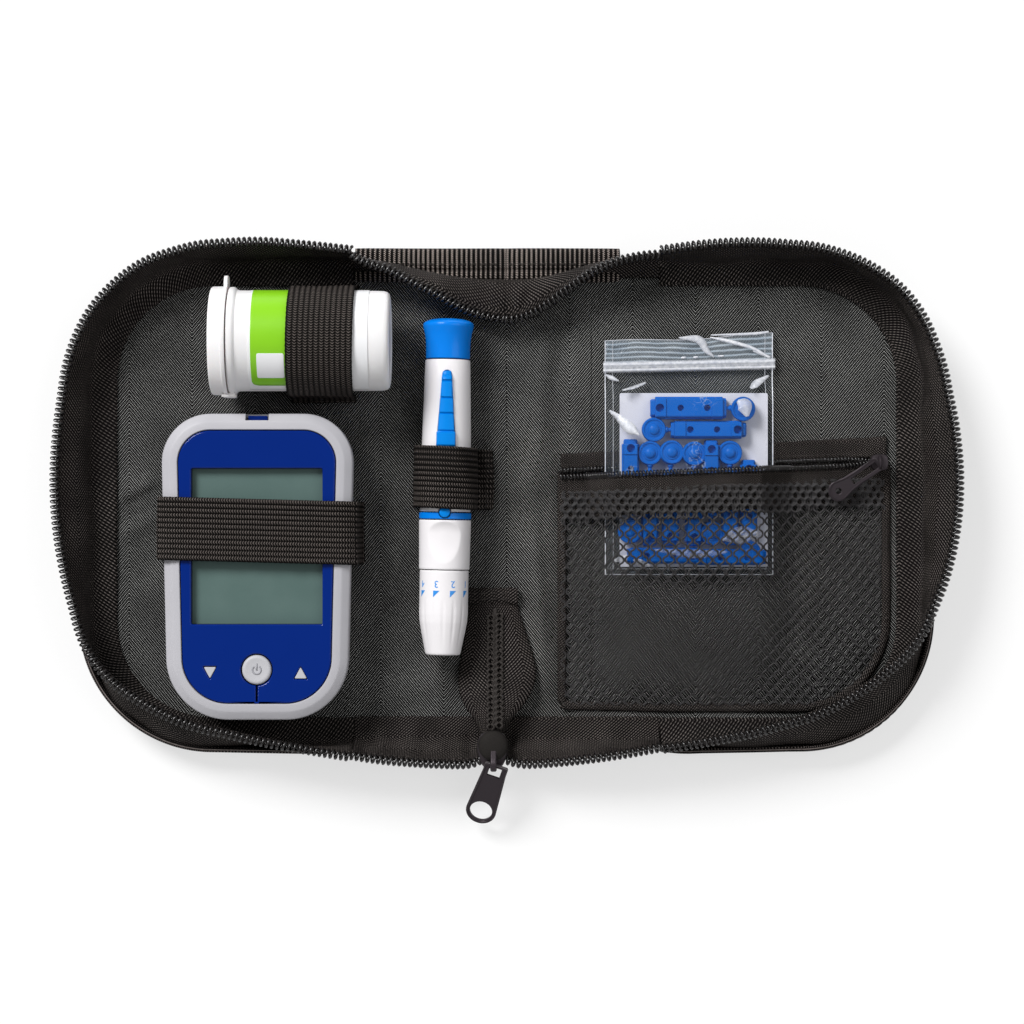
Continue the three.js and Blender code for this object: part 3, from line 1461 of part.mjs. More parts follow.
add("vial_body", vialBody(), vialWhite);
add("vial_lid", vialLid(), vialWhite);
add("vial_desiccant_liner", vialDesiccantLiner(), desiccantWhite);
add("vial_test_strips", vialTestStrips(), stripWhite);

add("pen_barrel", penBarrel(), penWhite);
add("pen_cocking_cap", penCockingCap(), penBlue);
add("pen_ejector_slider", penEjectorSlider(), penBlue);
add("pen_release_button", penReleaseButton(), penBlue);
add("pen_ring", penRing(), penBlue);
add("pen_nose_sleeve", penNoseSleeve(), penWhite);
add("pen_depth_dial", penDepthDial(), penWhite);
add("pen_lancet_holder", penLancetHolder(), penBlue);
add("pen_spring", penSpring(), springSteel);

add("bag_film", bagFilm(), bagClear);
add("bag_card", bagCard(), cardWhite);
add("lancet_upper", lancetPiece(upperLancet), lancetBlue);
add("lancet_lower", lancetPiece(lowerLancet), lancetBlue);
add("lancet_pile", lancetPile(), lancetBlue);

console.log(`Net: ${net.gaps} gaps. Spring: least gap between turns ${springGap().toFixed(2)} mm.`);

export default kit;
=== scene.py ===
# %% [markdown]
# # A zip-round case with a blood glucose kit
# The case is sewn from a coarse woven cover, a thin board and a twill lining, and a zip runs round
# three sides of it. It lies open like a book. Elastic loops hold a meter, a vial and a lancing pen,
# and a net pocket holds a small bag of lancets. The first cell loads the packed CAD model, whose
# names and places everything below follows.

# %% Load the packed model
import math
import random

import bpy
import numpy as np
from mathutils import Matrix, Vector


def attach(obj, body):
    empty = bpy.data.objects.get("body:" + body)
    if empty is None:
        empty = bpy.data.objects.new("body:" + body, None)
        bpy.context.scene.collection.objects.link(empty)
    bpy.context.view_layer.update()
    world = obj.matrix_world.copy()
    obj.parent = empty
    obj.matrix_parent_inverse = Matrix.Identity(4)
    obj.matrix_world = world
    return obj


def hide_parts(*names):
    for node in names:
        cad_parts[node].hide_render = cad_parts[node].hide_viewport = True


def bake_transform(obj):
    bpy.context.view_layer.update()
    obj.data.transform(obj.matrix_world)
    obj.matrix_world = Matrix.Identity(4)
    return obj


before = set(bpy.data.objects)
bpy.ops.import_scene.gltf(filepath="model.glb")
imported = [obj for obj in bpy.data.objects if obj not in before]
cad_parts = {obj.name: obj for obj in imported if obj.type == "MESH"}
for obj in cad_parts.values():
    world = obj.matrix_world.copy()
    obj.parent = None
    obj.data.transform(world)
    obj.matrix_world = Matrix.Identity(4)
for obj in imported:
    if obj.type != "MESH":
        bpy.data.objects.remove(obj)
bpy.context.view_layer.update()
MM = 0.001

# %% [markdown]
# ## Camera, floor and light
# The picture is taken from straight above, from about 0.9 m, through a lens that is long enough to
# keep the walls of the case from leaning. One large lamp at the upper left draws the soft shadow at
# the lower right, and a weaker one opposite keeps the black cloth from going blank. The floor is
# white paper. A camera ray sees some light of its own in it, which whitens it without putting more
# light on the case, and the shadow stays.

# %% The camera
lens_camera = bpy.data.cameras.new("overhead_camera")
lens_camera.sensor_width = 36
lens_camera.lens = 104.4
lens_camera.clip_start = 0.05
camera = bpy.data.objects.new("overhead_camera", lens_camera)
camera.location = (1.6 * MM, -2.1 * MM, 900 * MM)
bpy.context.collection.objects.link(camera)
bpy.context.scene.camera = camera
bpy.context.scene.view_settings.view_transform = "Standard"
print("lens of", round(lens_camera.lens, 1), "mm,", round(camera.location.z / MM), "mm above the floor")

# %% [markdown]
# ## Writing finishes as sums
# Every finish below is a Principled surface whose colour, roughness and bump come from patterns.
# A weave is mostly arithmetic on two lengths, so a small class wraps a node's socket and lets
# Python's own signs add the Math nodes. All other nodes come from one method.

# %% Numbers and colours that vary over a surface
class Varying:
    """A number or colour that changes over a surface. A sum on it adds a Math node."""

    def __init__(self, finish, socket):
        self.finish = finish
        self.socket = socket

    def sum(self, operation, first, second):
        return self.finish.node("Math", {"operation": operation}, {0: first, 1: second})

    def __add__(self, other):
        return self.sum("ADD", self, other)

    def __radd__(self, other):
        return self.sum("ADD", other, self)

    def __sub__(self, other):
        return self.sum("SUBTRACT", self, other)

    def __rsub__(self, other):
        return self.sum("SUBTRACT", other, self)

    def __mul__(self, other):
        return self.sum("MULTIPLY", self, other)

    def __rmul__(self, other):
        return self.sum("MULTIPLY", other, self)

    def __truediv__(self, other):
        return self.sum("DIVIDE", self, other)

    def __pow__(self, other):
        return self.sum("POWER", self, other)

    def to_zigzag(self, width):
        return self.sum("PINGPONG", self, width)

    def to_wave(self):
        """0 to 1 and back once for each whole number."""
        turn = self * math.tau
        return self.finish.node("Math", {"operation": "SINE"}, {0: turn}) * 0.5 + 0.5

    def larger(self, other):
        return self.sum("MAXIMUM", self, other)

    def from_to(self, start, end, low=0.0, high=1.0):
        settings = {"interpolation_type": "SMOOTHSTEP"}
        return self.finish.node("MapRange", settings, {0: self, 1: start, 2: end, 3: low, 4: high})


print("a sum of patterns is one Math node for each sign in it")


# %% A finish
class Finish:
    """One material, and the few ways in which its patterns are made."""

    def __init__(self, name, **fixed):
        self.material = bpy.data.materials.new(name)
        self.material.use_nodes = True
        self.tree = self.material.node_tree
        self.place = None
        self.surface = self.tree.nodes["Principled BSDF"]
        self.surface.inputs["Specular IOR Level"].default_value = 0.25
        for socket, value in fixed.items():
            self.surface.inputs[socket.replace("_", " ")].default_value = value

    def node(self, kind, settings=None, values=None, out=0):
        node = self.tree.nodes.new("ShaderNode" + kind)
        for key, value in (settings or {}).items():
            setattr(node, key, value)
        for key, value in (values or {}).items():
            if isinstance(value, Varying):
                self.tree.links.new(value.socket, node.inputs[key])
            else:
                node.inputs[key].default_value = value
        return Varying(self, node.outputs[out])

    def mix(self, share, first, second):
        return self.node("Mix", {"data_type": "RGBA"}, {0: share, 6: first, 7: second}, out=2)

    def feed(self, socket, value):
        self.tree.links.new(value.socket, self.surface.inputs[socket])

    def bump(self, height, depth_mm, strength=1.0):
        values = {"Height": height, "Distance": depth_mm * MM, "Strength": strength}
        self.feed("Normal", self.node("Bump", None, values))

    def paint(self, color, roughness, height, depth_mm, strength=1.0):
        """Feeds in what varies over the surface, and gives the finished material."""
        self.feed("Base Color", color)
        self.feed("Roughness", roughness)
        self.bump(height, depth_mm, strength)
        return self.material

    def blend_shaders(self, share, first, second):
        """Shows the first of two shaders where the share is 0, and the second where it is 1."""
        both = self.node("MixShader", None, {0: share, 1: first, 2: second})
        self.tree.links.new(both.socket, self.tree.nodes["Material Output"].inputs["Surface"])

    def plain_surface(self):
        return Varying(self, self.surface.outputs[0])

    def let_through(self, share):
        """Lets light straight through, but for a share that changes over the surface."""
        self.blend_shaders(share, self.node("BsdfTransparent"), self.plain_surface())

    def along_cloth(self):
        """Millimetres across and along the cloth, as it was cut."""
        place = self.node("UVMap", {"uv_map": "cloth"})
        parts = self.node("SeparateXYZ", None, {0: place}).socket.node
        return [Varying(self, parts.outputs[axis]) for axis in ("X", "Y")]

    def noise(self, spots_per_mm, detail=2.0):
        """Soft noise that is fixed in the case's own frame."""
        if self.place is None:
            metres = self.node("TexCoord", out=3)
            self.place = self.node("VectorMath", {"operation": "SCALE"}, {0: metres, "Scale": 1 / MM})
        values = {"Vector": self.place, "Scale": spots_per_mm, "Detail": detail}
        return self.node("TexNoise", None, values)


print("a finish has", sum(not name.startswith("__") for name in vars(Finish)), "methods")


# %% Greys and colours
def grey(level):
    return (level, level, level, 1.0)


def ink(red, green, blue):
    """A colour as it is read off a screen, turned into the linear one that shaders use."""
    parts = [v / 255 for v in (red, green, blue)]
    return tuple(v / 12.92 if v <= 0.04045 else ((v + 0.055) / 1.055) ** 2.4 for v in parts) + (1.0,)


print("128 on a screen is", round(ink(128, 128, 128)[0], 3), "to a shader")

# %% [markdown]
# The floor mixes a plain matt white with light that only the camera and mirror-like surfaces see.

# %% Floor and lamps
paper = Finish("floor_paper", Roughness=0.9)
paper.feed("Base Color", paper.mix(paper.noise(0.3), grey(0.95), grey(0.93)))
path = paper.node("LightPath").socket.node
rays = [Varying(paper, path.outputs[f"Is {kind} Ray"]) for kind in ("Camera", "Glossy", "Transmission")]
seen = rays[0].larger(rays[1]).larger(rays[2])
glow = paper.node("Emission", None, {"Color": grey(1.0), "Strength": 1.0})
PAPER_GLOW = 0.6
paper.blend_shaders(seen * PAPER_GLOW, paper.plain_surface(), glow)

floor_mesh = bpy.data.meshes.new("floor")
FLOOR_REACH = 1.6
floor_corners = [(x * FLOOR_REACH, y * FLOOR_REACH, 0) for x, y in ((-1, -1), (1, -1), (1, 1), (-1, 1))]
floor_mesh.from_pydata(floor_corners, [], [(0, 1, 2, 3)])
floor = bpy.data.objects.new("floor", floor_mesh)
floor.location.z = -0.05 * MM
floor_mesh.materials.append(paper.material)
bpy.context.collection.objects.link(floor)


def lamp(name, place, target, size, watts):
    light = bpy.data.lights.new(name, "AREA")
    light.shape = "DISK"
    light.size = size
    light.energy = watts
    holder = bpy.data.objects.new(name, light)
    holder.location = place
    way = [b - a for a, b in zip(place, target)]
    holder.rotation_mode = "QUATERNION"
    holder.rotation_quaternion = Vector(way).to_track_quat("-Z", "Y")
    bpy.context.collection.objects.link(holder)


lamp("key_lamp", (-1.7, 2.0, 2.3), (0, 0, 0), 1.5, 134.0)
lamp("fill_lamp", (2.0, 0.7, 2.4), (0, 0, 0), 2.4, 18.0)
lamp("front_lamp", (0.0, -2.4, 2.2), (0, 0, 0), 2.4, 10.0)
world = bpy.data.worlds.new("studio")
world.use_nodes = True
world.node_tree.nodes["Background"].inputs["Color"].default_value = grey(1.0)
world.node_tree.nodes["Background"].inputs["Strength"].default_value = 0.3
bpy.context.scene.world = world
print("camera, floor and lamps are set")

# %% [markdown]
# ## Cloths of the case
# The four black cloths differ in their weave. The lining is a fine twill, whose diagonal ribs catch
# the light as rows of tiny dots and turn over in wide zigzags. The zip tape is a herringbone with
# narrow stripes. The outer cover is a coarse plain weave of thick, slightly brown yarn. The elastics
# are knitted in ribs. Each is written from the same two lengths, across and along the cloth. The
# light on the yarns' crowns is painted sheen: a pale colour mixed in where the weave rises.


# %% Lining twill
def lining_twill():
    cloth = Finish("lining_twill", Specular_IOR_Level=0.12)
    across, along = cloth.along_cloth()
    zigzag = across.to_zigzag(19.0)
    rib = ((zigzag + along * 0.8) / 0.86).to_wave()
    yarn = ((zigzag * 0.9 - along) / 0.62).to_wave()
    patches = cloth.noise(0.055, 3.0)
    fine = cloth.noise(2.6, 2.0)
    dots = (rib * yarn).from_to(0.46, 0.96)
    # Painted sheen: where the twill's yarns rise they are coloured pale, standing for the light caught on
    # them.
    painted_sheen = dots * (patches * 1.1 + 0.25) * (fine * 0.9 + 0.45)
    color = cloth.mix(painted_sheen, ink(8, 8, 8), ink(232, 232, 228))
    return cloth.paint(color, 0.6 - painted_sheen * 0.25, rib * 0.6 + yarn * 0.4 + fine * 0.25, 0.2, 0.9)


lining = lining_twill()
print("twill of", len(lining.node_tree.nodes), "nodes")


# %% Zip tape herringbone
def zip_herringbone(name, stripe, pitch):
    tape = Finish(name, Specular_IOR_Level=0.1)
    across, along = tape.along_cloth()
    chevron = across.to_zigzag(stripe)
    rib = ((along + chevron * 1.15) / pitch).to_wave()
    yarn = ((along * 0.35 - chevron) / (pitch * 0.8)).to_wave()
    patches = tape.noise(0.08, 3.0)
    fine = tape.noise(2.2, 2.0)
    # Painted sheen: the herringbone's raised ribs are coloured pale, standing for the light caught on them.
    painted_sheen = rib.from_to(0.6, 1.0) * (yarn * 0.85 + 0.15) * (patches + 0.1) * (fine + 0.4)
    color = tape.mix(painted_sheen, ink(6, 4, 4), ink(146, 137, 132))
    return tape.paint(color, 0.7 - painted_sheen * 0.15, rib * 0.8 + yarn * 0.25 + fine * 0.3, 0.28, 0.9)


wide_tape = zip_herringbone("zip_tape", 6.0, 1.05)
narrow_tape = zip_herringbone("pocket_tape", 2.2, 0.8)
print("herringbone of", len(wide_tape.node_tree.nodes), "nodes")


# %% Outer cover, elastic and thread
def coarse_cloth(name, pitch, dark, light):
    cloth = Finish(name, Specular_IOR_Level=0.12)
    across, along = cloth.along_cloth()
    weft = (along / pitch).to_wave() * (across / (pitch * 2)).to_wave()
    warp = (across / pitch).to_wave() * (1 - (across / (pitch * 2)).to_wave())
    knots = weft.larger(warp)
    fine = cloth.noise(1.7, 3.0)
    patches = cloth.noise(0.07, 3.0)
    # Painted sheen: the weave's knots are coloured pale, standing for the light caught on them.
    painted_sheen = knots.from_to(0.4, 0.95) * (fine + 0.35) * (patches + 0.3)
    color = cloth.mix(painted_sheen, dark, light)
    return cloth.paint(color, 0.75 - painted_sheen * 0.15, knots + fine * 0.4, 0.25, 0.9)


cover_cloth = coarse_cloth("woven_cover", 1.0, ink(9, 7, 7), ink(150, 140, 136))


def ribbed_elastic():
    band = Finish("elastic", Specular_IOR_Level=0.1)
    across, along = band.along_cloth()
    chevron = across.to_zigzag(0.8)
    stitch = ((along + chevron * 0.8) / 0.78).to_wave().from_to(0.5, 1.0)
    crown = (chevron * 2.5).from_to(0.2, 1.7)
    fine = band.noise(1.9, 3.0)
    # Painted sheen: the crowns of the knitted ribs are coloured pale, standing for the light caught on
    # them.
    painted_sheen = stitch * crown * (fine + 0.35)
    color = band.mix(painted_sheen, ink(8, 6, 5), ink(126, 117, 112))
    return band.paint(color, 0.7 - painted_sheen * 0.2, stitch * crown + fine * 0.4, 0.34, 1.0)


elastic = ribbed_elastic()


def stitch_thread():
    thread = Finish("stitch_thread", Specular_IOR_Level=0.15)
    fine = thread.noise(3.0, 2.0)
    color = thread.mix(fine, ink(16, 14, 14), ink(74, 69, 66))
    return thread.paint(color, 0.5 + fine * 0.2, fine, 0.08)


thread = stitch_thread()
print("plain weave of", len(cover_cloth.node_tree.nodes), "nodes")

# %% [markdown]
# ## Hard finishes
# Moulded plastic is never quite even: it has a faint grain, and its roughness drifts. The coil of the
# zip is bare nylon and glints. Metal parts are lacquered dark, with the lacquer worn thin on edges.

# %% Plastic, nylon and metal
def moulded(name, color, roughness, grain_mm=0.02, coat=0.0, speck=0.06, **fixed):
    plastic = Finish(name, Coat_Roughness=0.12, **fixed)
    drift = plastic.noise(0.12, 3.0)
    grain = plastic.noise(5.0, 2.0)
    darker = tuple(part * (1 - speck) for part in color[:3]) + (1.0,)
    plastic.feed("Base Color", plastic.mix(drift, darker, color))
    plastic.feed("Roughness", drift * 0.12 + grain * 0.05 + (roughness - 0.08))
    if coat:
        plastic.feed("Coat Weight", drift * 0.1 + (coat - 0.05))
    plastic.bump(grain, grain_mm, 0.5)
    return plastic.material


def worn_metal(name, color, bare, roughness):
    metal = Finish(name, Metallic=0.55)
    scuffs = metal.noise(1.3, 4.0)
    edges = metal.node("NewGeometry").socket.node.outputs["Pointiness"]
    worn = Varying(metal, edges).from_to(0.53, 0.6) * scuffs
    color = metal.mix(worn, color, bare)
    return metal.paint(color, scuffs * 0.2 + (roughness - 0.1), scuffs, 0.03, 0.5)


nylon = moulded("zip_nylon", ink(27, 24, 24), 0.24, speck=0.3, Specular_IOR_Level=0.7)
dark_metal = worn_metal("dark_metal", ink(60, 54, 58), ink(140, 136, 138), 0.36)
grey_shell = moulded("grey_plastic", ink(180, 179, 184), 0.42)
rear_shell = moulded("rear_plastic", ink(178, 179, 186), 0.42, grain_mm=0.05)
button_white = moulded("button_white", ink(186, 186, 190), 0.42)
vial_white = moulded("vial_white", ink(240, 237, 237), 0.34, Subsurface_Weight=0.04)
pen_white = moulded("pen_white", ink(236, 233, 235), 0.3)
pen_blue = moulded("pen_blue", ink(2, 124, 226), 0.24, speck=0.12, Specular_IOR_Level=0.2)
slider_blue = moulded("slider_blue", ink(2, 130, 222), 0.34, speck=0.1, Specular_IOR_Level=0.1)
lancet_blue = moulded("lancet_blue", ink(0, 96, 190), 0.34, speck=0.2, Specular_IOR_Level=0.12)
blue_gloss = moulded(
    "blue_gloss", ink(0, 36, 118), 0.14, grain_mm=0.002, speck=0.06, Specular_IOR_Level=0.16,
)
board_green = moulded("circuit_board", ink(24, 92, 60), 0.4, speck=0.4)
cell_steel = moulded("cell_steel", ink(190, 190, 186), 0.25, Metallic=1.0)
spring_steel = moulded("spring_steel", ink(170, 172, 176), 0.25, Metallic=1.0)
desiccant = moulded("desiccant", ink(228, 224, 214), 0.8, grain_mm=0.15)
strip_white = moulded("strip_white", ink(230, 232, 236), 0.4)
card_white = moulded("card_white", ink(208, 209, 219), 0.6, grain_mm=0.03)
stiffener = moulded("stiffener", ink(118, 112, 104), 0.85, grain_mm=0.1)
print(len(bpy.data.materials), "finishes so far")


# %% [markdown]
# ## Tools for cutting and laying cloth
# A cloth here is a grid of points. It gets a back face at its own thickness, closed round the edges,
# so that it is a real sheet from every side, and it carries a map of its own lengths in millimetres,
# which the weaves read. Lines drawn through a few measured points are rounded with a spline.

# %% Curves
def rounded(points, count, closed=False):
    """A Catmull-Rom curve through the points, at even steps of their numbering."""
    p = np.asarray(points, float)
    if closed:
        p = np.vstack([p[-1], p, p[0], p[1]])
    else:
        p = np.vstack([2 * p[0] - p[1], p, 2 * p[-1] - p[-2]])
    spans = len(p) - 3
    place = np.linspace(0, spans, count, endpoint=not closed)
    i = np.minimum(place.astype(int), spans - 1)
    t = (place - i)[:, None]
    a, b, c, d = p[i], p[i + 1], p[i + 2], p[i + 3]
    return 0.5 * (2 * b + (c - a) * t + (2 * a - 5 * b + 4 * c - d) * t**2 + (3 * b - a - 3 * c + d) * t**3)


def run_of(line):
    """How far along a line each of its points lies."""
    return np.r_[0, np.cumsum(np.linalg.norm(np.diff(line, axis=0), axis=1))]


def unit(vectors):
    return vectors / np.maximum(np.linalg.norm(vectors, axis=-1, keepdims=True), 1e-9)


def evenly(points, count=None, step=None):
    """The same line with its points at equal distances."""
    p = np.asarray(points, float)
    run = run_of(p)
    count = count or max(2, int(round(run[-1] / step)) + 1)
    places = np.linspace(0, run[-1], count)
    return np.stack([np.interp(places, run, p[:, k]) for k in range(p.shape[1])], axis=1)


print("three points, rounded:", rounded([(0, 0), (1, 1), (2, 0)], 5).round(2).tolist())


# %% Faces and pieces
def quads(rows, columns, close_rows=False, close_columns=False):
    """Faces between the neighbours of a grid, whose points are numbered row by row."""
    faces = []
    for i in range(rows if close_rows else rows - 1):
        for j in range(columns if close_columns else columns - 1):
            k, m = (i + 1) % rows, (j + 1) % columns
            faces.append((i * columns + j, i * columns + m, k * columns + m, k * columns + j))
    return faces


def piece(name, shape, finish, body=None, slot=None, node=None, cloth=None, smooth=True):
    """A mesh from a shape, which is its points in millimetres and its faces.

    It rides on a CAD body, and can stand for a CAD node.
    """
    points, faces = shape
    mesh = bpy.data.meshes.new(name)
    mesh.from_pydata((np.asarray(points, float) * MM).tolist(), [], [list(f) for f in faces])
    mesh.materials.append(finish)
    if cloth is not None:
        corners = np.zeros(len(mesh.loops), int)
        mesh.loops.foreach_get("vertex_index", corners)
        layer = mesh.uv_layers.new(name="cloth")
        layer.data.foreach_set("uv", np.asarray(cloth, float)[corners].ravel())
    mesh.polygons.foreach_set("use_smooth", [smooth] * len(mesh.polygons))
    mesh.update()
    thing = bpy.data.objects.new(name, mesh)
    bpy.context.collection.objects.link(thing)
    if body:
        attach(thing, body)
    if node:
        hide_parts(node)
    return thing


print("a grid of 3 by 4 points has", len(quads(3, 4)), "faces")


# %% Cloth with a thickness
def normals_of(grid):
    return unit(np.cross(np.gradient(grid, axis=1), np.gradient(grid, axis=0)))


def lengths_of(grid):
    """How far each point lies across and along the cloth, in millimetres."""
    across = run_of(grid.mean(0))
    along = run_of(grid[:, grid.shape[1] // 2])
    return np.stack(np.broadcast_arrays(across[None, :], along[:, None]), axis=2)


def cloth_grid(grid, thickness):
    """Points, faces and lengths of a closed sheet whose middle surface is the grid."""
    rows, columns = grid.shape[:2]
    off = normals_of(grid) * thickness / 2
    top, under = (grid + off).reshape(-1, 3), (grid - off).reshape(-1, 3)
    count = rows * columns
    faces = quads(rows, columns)
    faces += [tuple(reversed([count + v for v in f])) for f in quads(rows, columns)]
    number = np.arange(count).reshape(rows, columns)
    rim = [*number[0], *number[1:, -1], *number[-1, -2::-1], *number[-2:0:-1, 0]]
    faces += [(a, count + a, count + b, b) for a, b in zip(rim, rim[1:] + rim[:1])]
    lengths = lengths_of(grid).reshape(-1, 2)
    return np.vstack([top, under]), faces, np.vstack([lengths, lengths])


def cloth_piece(name, grid, thickness, finish, *where):
    points, faces, lengths = cloth_grid(np.asarray(grid, float), thickness)
    return piece(name, (points, faces), finish, *where, cloth=lengths)


def dress(node, finish):
    """Gives a CAD node that stays in view a finish of its own."""
    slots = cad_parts[node].data.materials
    slots.clear()
    slots.append(finish)


# How thick the cloths are, in millimetres.
COVER_THICK = 1.2
LINING_THICK = 0.5
TAPE_THICK = 0.7
NARROW_TAPE_THICK = 0.5
ELASTIC_THICK = 0.8
FILM_THICK = 0.06


def cut_size(thing, wide, long, held, *under, **more):
    """Returns the cloth unchanged. What size in millimetres it was cut to, how it is held and what it lies
    on are not used.
    """
    return thing


print("the cover is", COVER_THICK, "mm thick and the lining", LINING_THICK)

# %% [markdown]
# A thread, a wire or a strand of net is a thin tube along a line. Many of them joined in one mesh
# stay light, because each has only a few sides.

# %% Tubes and stitches
def tube_parts(line, radius, sides=6, close=False):
    """Points and faces of a tube along a line. The radius may be one number or one for each point."""
    p = np.asarray(line, float)
    if close:
        way = np.roll(p, -1, axis=0) - np.roll(p, 1, axis=0)
    else:
        way = np.gradient(p, axis=0)
    way = unit(way)
    up = np.tile([0.0, 0.0, 1.0], (len(p), 1))
    steep = np.abs(way[:, 2]) > 0.9
    up[steep] = [1.0, 0.0, 0.0]
    side = unit(np.cross(way, up))
    up = np.cross(side, way)
    angle = np.linspace(0, math.tau, sides, endpoint=False)
    r = np.broadcast_to(np.asarray(radius, float), len(p))[:, None, None]
    ring = np.cos(angle)[None, :, None] * side[:, None] + np.sin(angle)[None, :, None] * up[:, None]
    points = (p[:, None] + ring * r).reshape(-1, 3)
    faces = quads(len(p), sides, close_rows=close, close_columns=True)
    if not close:
        last = (len(p) - 1) * sides
        faces.append(tuple(reversed(range(sides))))
        faces.append(tuple(last + k for k in range(sides)))
    return points, faces


def joined(parts):
    """Many small meshes as one list of points and one of faces."""
    points, faces, start = [], [], 0
    for some, their_faces in parts:
        points.append(some)
        faces += [tuple(v + start for v in f) for f in their_faces]
        start += len(some)
    return np.vstack(points), faces


def stitch_parts(line, length=2.2, gap=0.9, radius=0.19):
    """Stitches along a line: each dives into the cloth at its ends."""
    line = np.asarray(line, float)
    run = run_of(line)
    count = max(1, int(run[-1] / (length + gap)))
    parts = []
    for i in range(count):
        places = (i + 0.15) * (length + gap) + np.linspace(0, length, 5)
        p = np.stack([np.interp(places, run, line[:, k]) for k in range(3)], axis=1)
        p[:, 2] += np.array([-0.35, 0, 0.1, 0, -0.35])
        parts.append(tube_parts(p, radius, sides=5))
    return parts


def sewn(name, line, *where, **stitch):
    """A row of stitches along a line, as one piece of thread."""
    return piece(name, joined(stitch_parts(line, **stitch)), thread, *where)


TAPE_STITCH = {"length": 1.5, "gap": 0.5, "radius": 0.16}
print(len(stitch_parts([(0, 0, 0), (31, 0, 0)])), "stitches in 31 mm of seam")

# %% [markdown]
# ## The shell's edge
# Both halves follow one floor outline: straight ends, round corners and a straight side. The wall
# stands on that outline. It swells out near the floor, and its rim leans out or in by an amount
# that changes all the way round and differs a little between the halves. It was measured at 24 places
# on each half, and a spline fills in between them.

# %% Floor outline and rim
FOLD = 21.0
HALF_REACH = 118.5
FLOOR_BACK = 67.0
FLOOR_FRONT = 65.0
CORNER = 30.0
WALL_START = 46.0
WALL_TOP = 18.2
COVER_MIDDLE = 0.62
FLOOR_TOP = 3.0
SPINE_TOP = 2.0
PLACES = 23

rim_lean = {
    -1: [7.6, 9.1, 10.1, 9.4, 8.6, 8.9, 9.0, 9.6, 10.4, 11.8, 13.7, 14.6,
         13.9, 11.6, 8.0, 5.4, 2.7, 0.3, -0.8, -0.5, 0.8, 3.9, 6.5, 8.8],
    1: [7.6, 9.4, 9.9, 9.0, 8.2, 8.1, 8.5, 8.8, 9.2, 10.9, 13.6, 14.8,
        14.0, 11.0, 5.6, 1.2, -2.4, -4.3, -4.9, -4.2, -2.4, 1.4, 4.2, 6.4],
}


def floor_edge(place):
    """Distance from the spine's middle, place along Y and outward direction at a place from 0 to 23."""
    straight = HALF_REACH - CORNER
    if place <= 3:
        return WALL_START + (straight - WALL_START) * place / 3, FLOOR_BACK, math.pi / 2
    if place <= 9:
        angle = math.pi / 2 * (1 - (place - 3) / 6)
        return straight + CORNER * math.cos(angle), FLOOR_BACK - CORNER + CORNER * math.sin(angle), angle
    if place <= 14:
        down = (FLOOR_BACK + FLOOR_FRONT - 2 * CORNER) * (place - 9) / 5
        return HALF_REACH, FLOOR_BACK - CORNER - down, 0.0
    if place <= 20:
        angle = -math.pi / 2 * (place - 14) / 6
        return straight + CORNER * math.cos(angle), CORNER - FLOOR_FRONT + CORNER * math.sin(angle), angle
    return straight + (WALL_START - straight) * (place - 20) / 3, -FLOOR_FRONT, -math.pi / 2


def wall_grid(side, section, count=190):
    """Rows round the wall; section gives, for a rim lean and a place, points of offset and height."""
    leans = rounded([[v] for v in rim_lean[side]], 24 * 20)[:, 0]
    rows = []
    for place in np.linspace(0, PLACES, count):
        u, y, angle = floor_edge(place)
        lean = np.interp(place, np.linspace(0, PLACES, len(leans)), leans)
        line = section(lean, place)
        rows.append([(side * (u + math.cos(angle) * o), y + math.sin(angle) * o, z) for o, z in line])
    return np.array(rows)


print("rim leans out by up to", max(rim_lean[-1] + rim_lean[1]), "mm")

# %% [markdown]
# ## Floors: cover, board and lining
# A half's floor is a sandwich. The cover is the coarse cloth underneath, the board keeps it flat and
# the lining lies on top. The cloths are laid out in columns from the fold to the outer side, each
# as long as the outline is there, so the round corners come out smooth. The lining isn't ironed: it
# swells a little between the seams and puckers where something is sewn to it, and those puckers are
# soft ridges added up as a height.

# %% The lining's puckers
# Each pucker: from and to (x, y), height, width. A negative height is a groove.
puckers = [
    ((-104.0, 4.0), (-119.0, -4.0), -1.3, 2.4),
    ((-105.0, 7.5), (-118.0, 1.5), 1.0, 2.6),
    ((-105.0, -3.0), (-118.0, -10.0), 0.9, 2.8),
    ((-104.0, -16.0), (-117.0, -24.0), -0.7, 3.0),
    ((-43.5, 1.0), (-31.0, 6.0), -0.7, 2.6),
    ((-43.0, -14.0), (-30.0, -20.0), 0.6, 3.2),
    ((-8.0, 14.0), (6.0, 22.0), 0.7, 3.0),
    ((-8.0, 4.0), (7.0, 1.0), -0.6, 2.6),
    ((-64.0, 30.0), (-58.0, 20.0), 0.5, 3.0),
    ((-100.0, 58.0), (-112.0, 44.0), 0.8, 4.0),
    ((24.0, 34.0), (60.0, 58.0), 0.8, 7.0),
    ((92.0, 56.0), (108.0, 30.0), 0.7, 6.0),
    ((12.5, 56.0), (7.6, -4.0), 1.3, 3.0),
    ((7.6, -2.0), (12.0, -58.0), 1.5, 2.6),
    ((3.0, 40.0), (1.0, -20.0), -0.6, 3.0),
    ((17.0, 30.0), (17.5, -50.0), -0.7, 2.6),
    ((-60.0, -58.0), (-12.0, -52.0), 0.7, 4.0),
    ((30.0, -50.0), (80.0, -58.0), 0.6, 4.0),
]


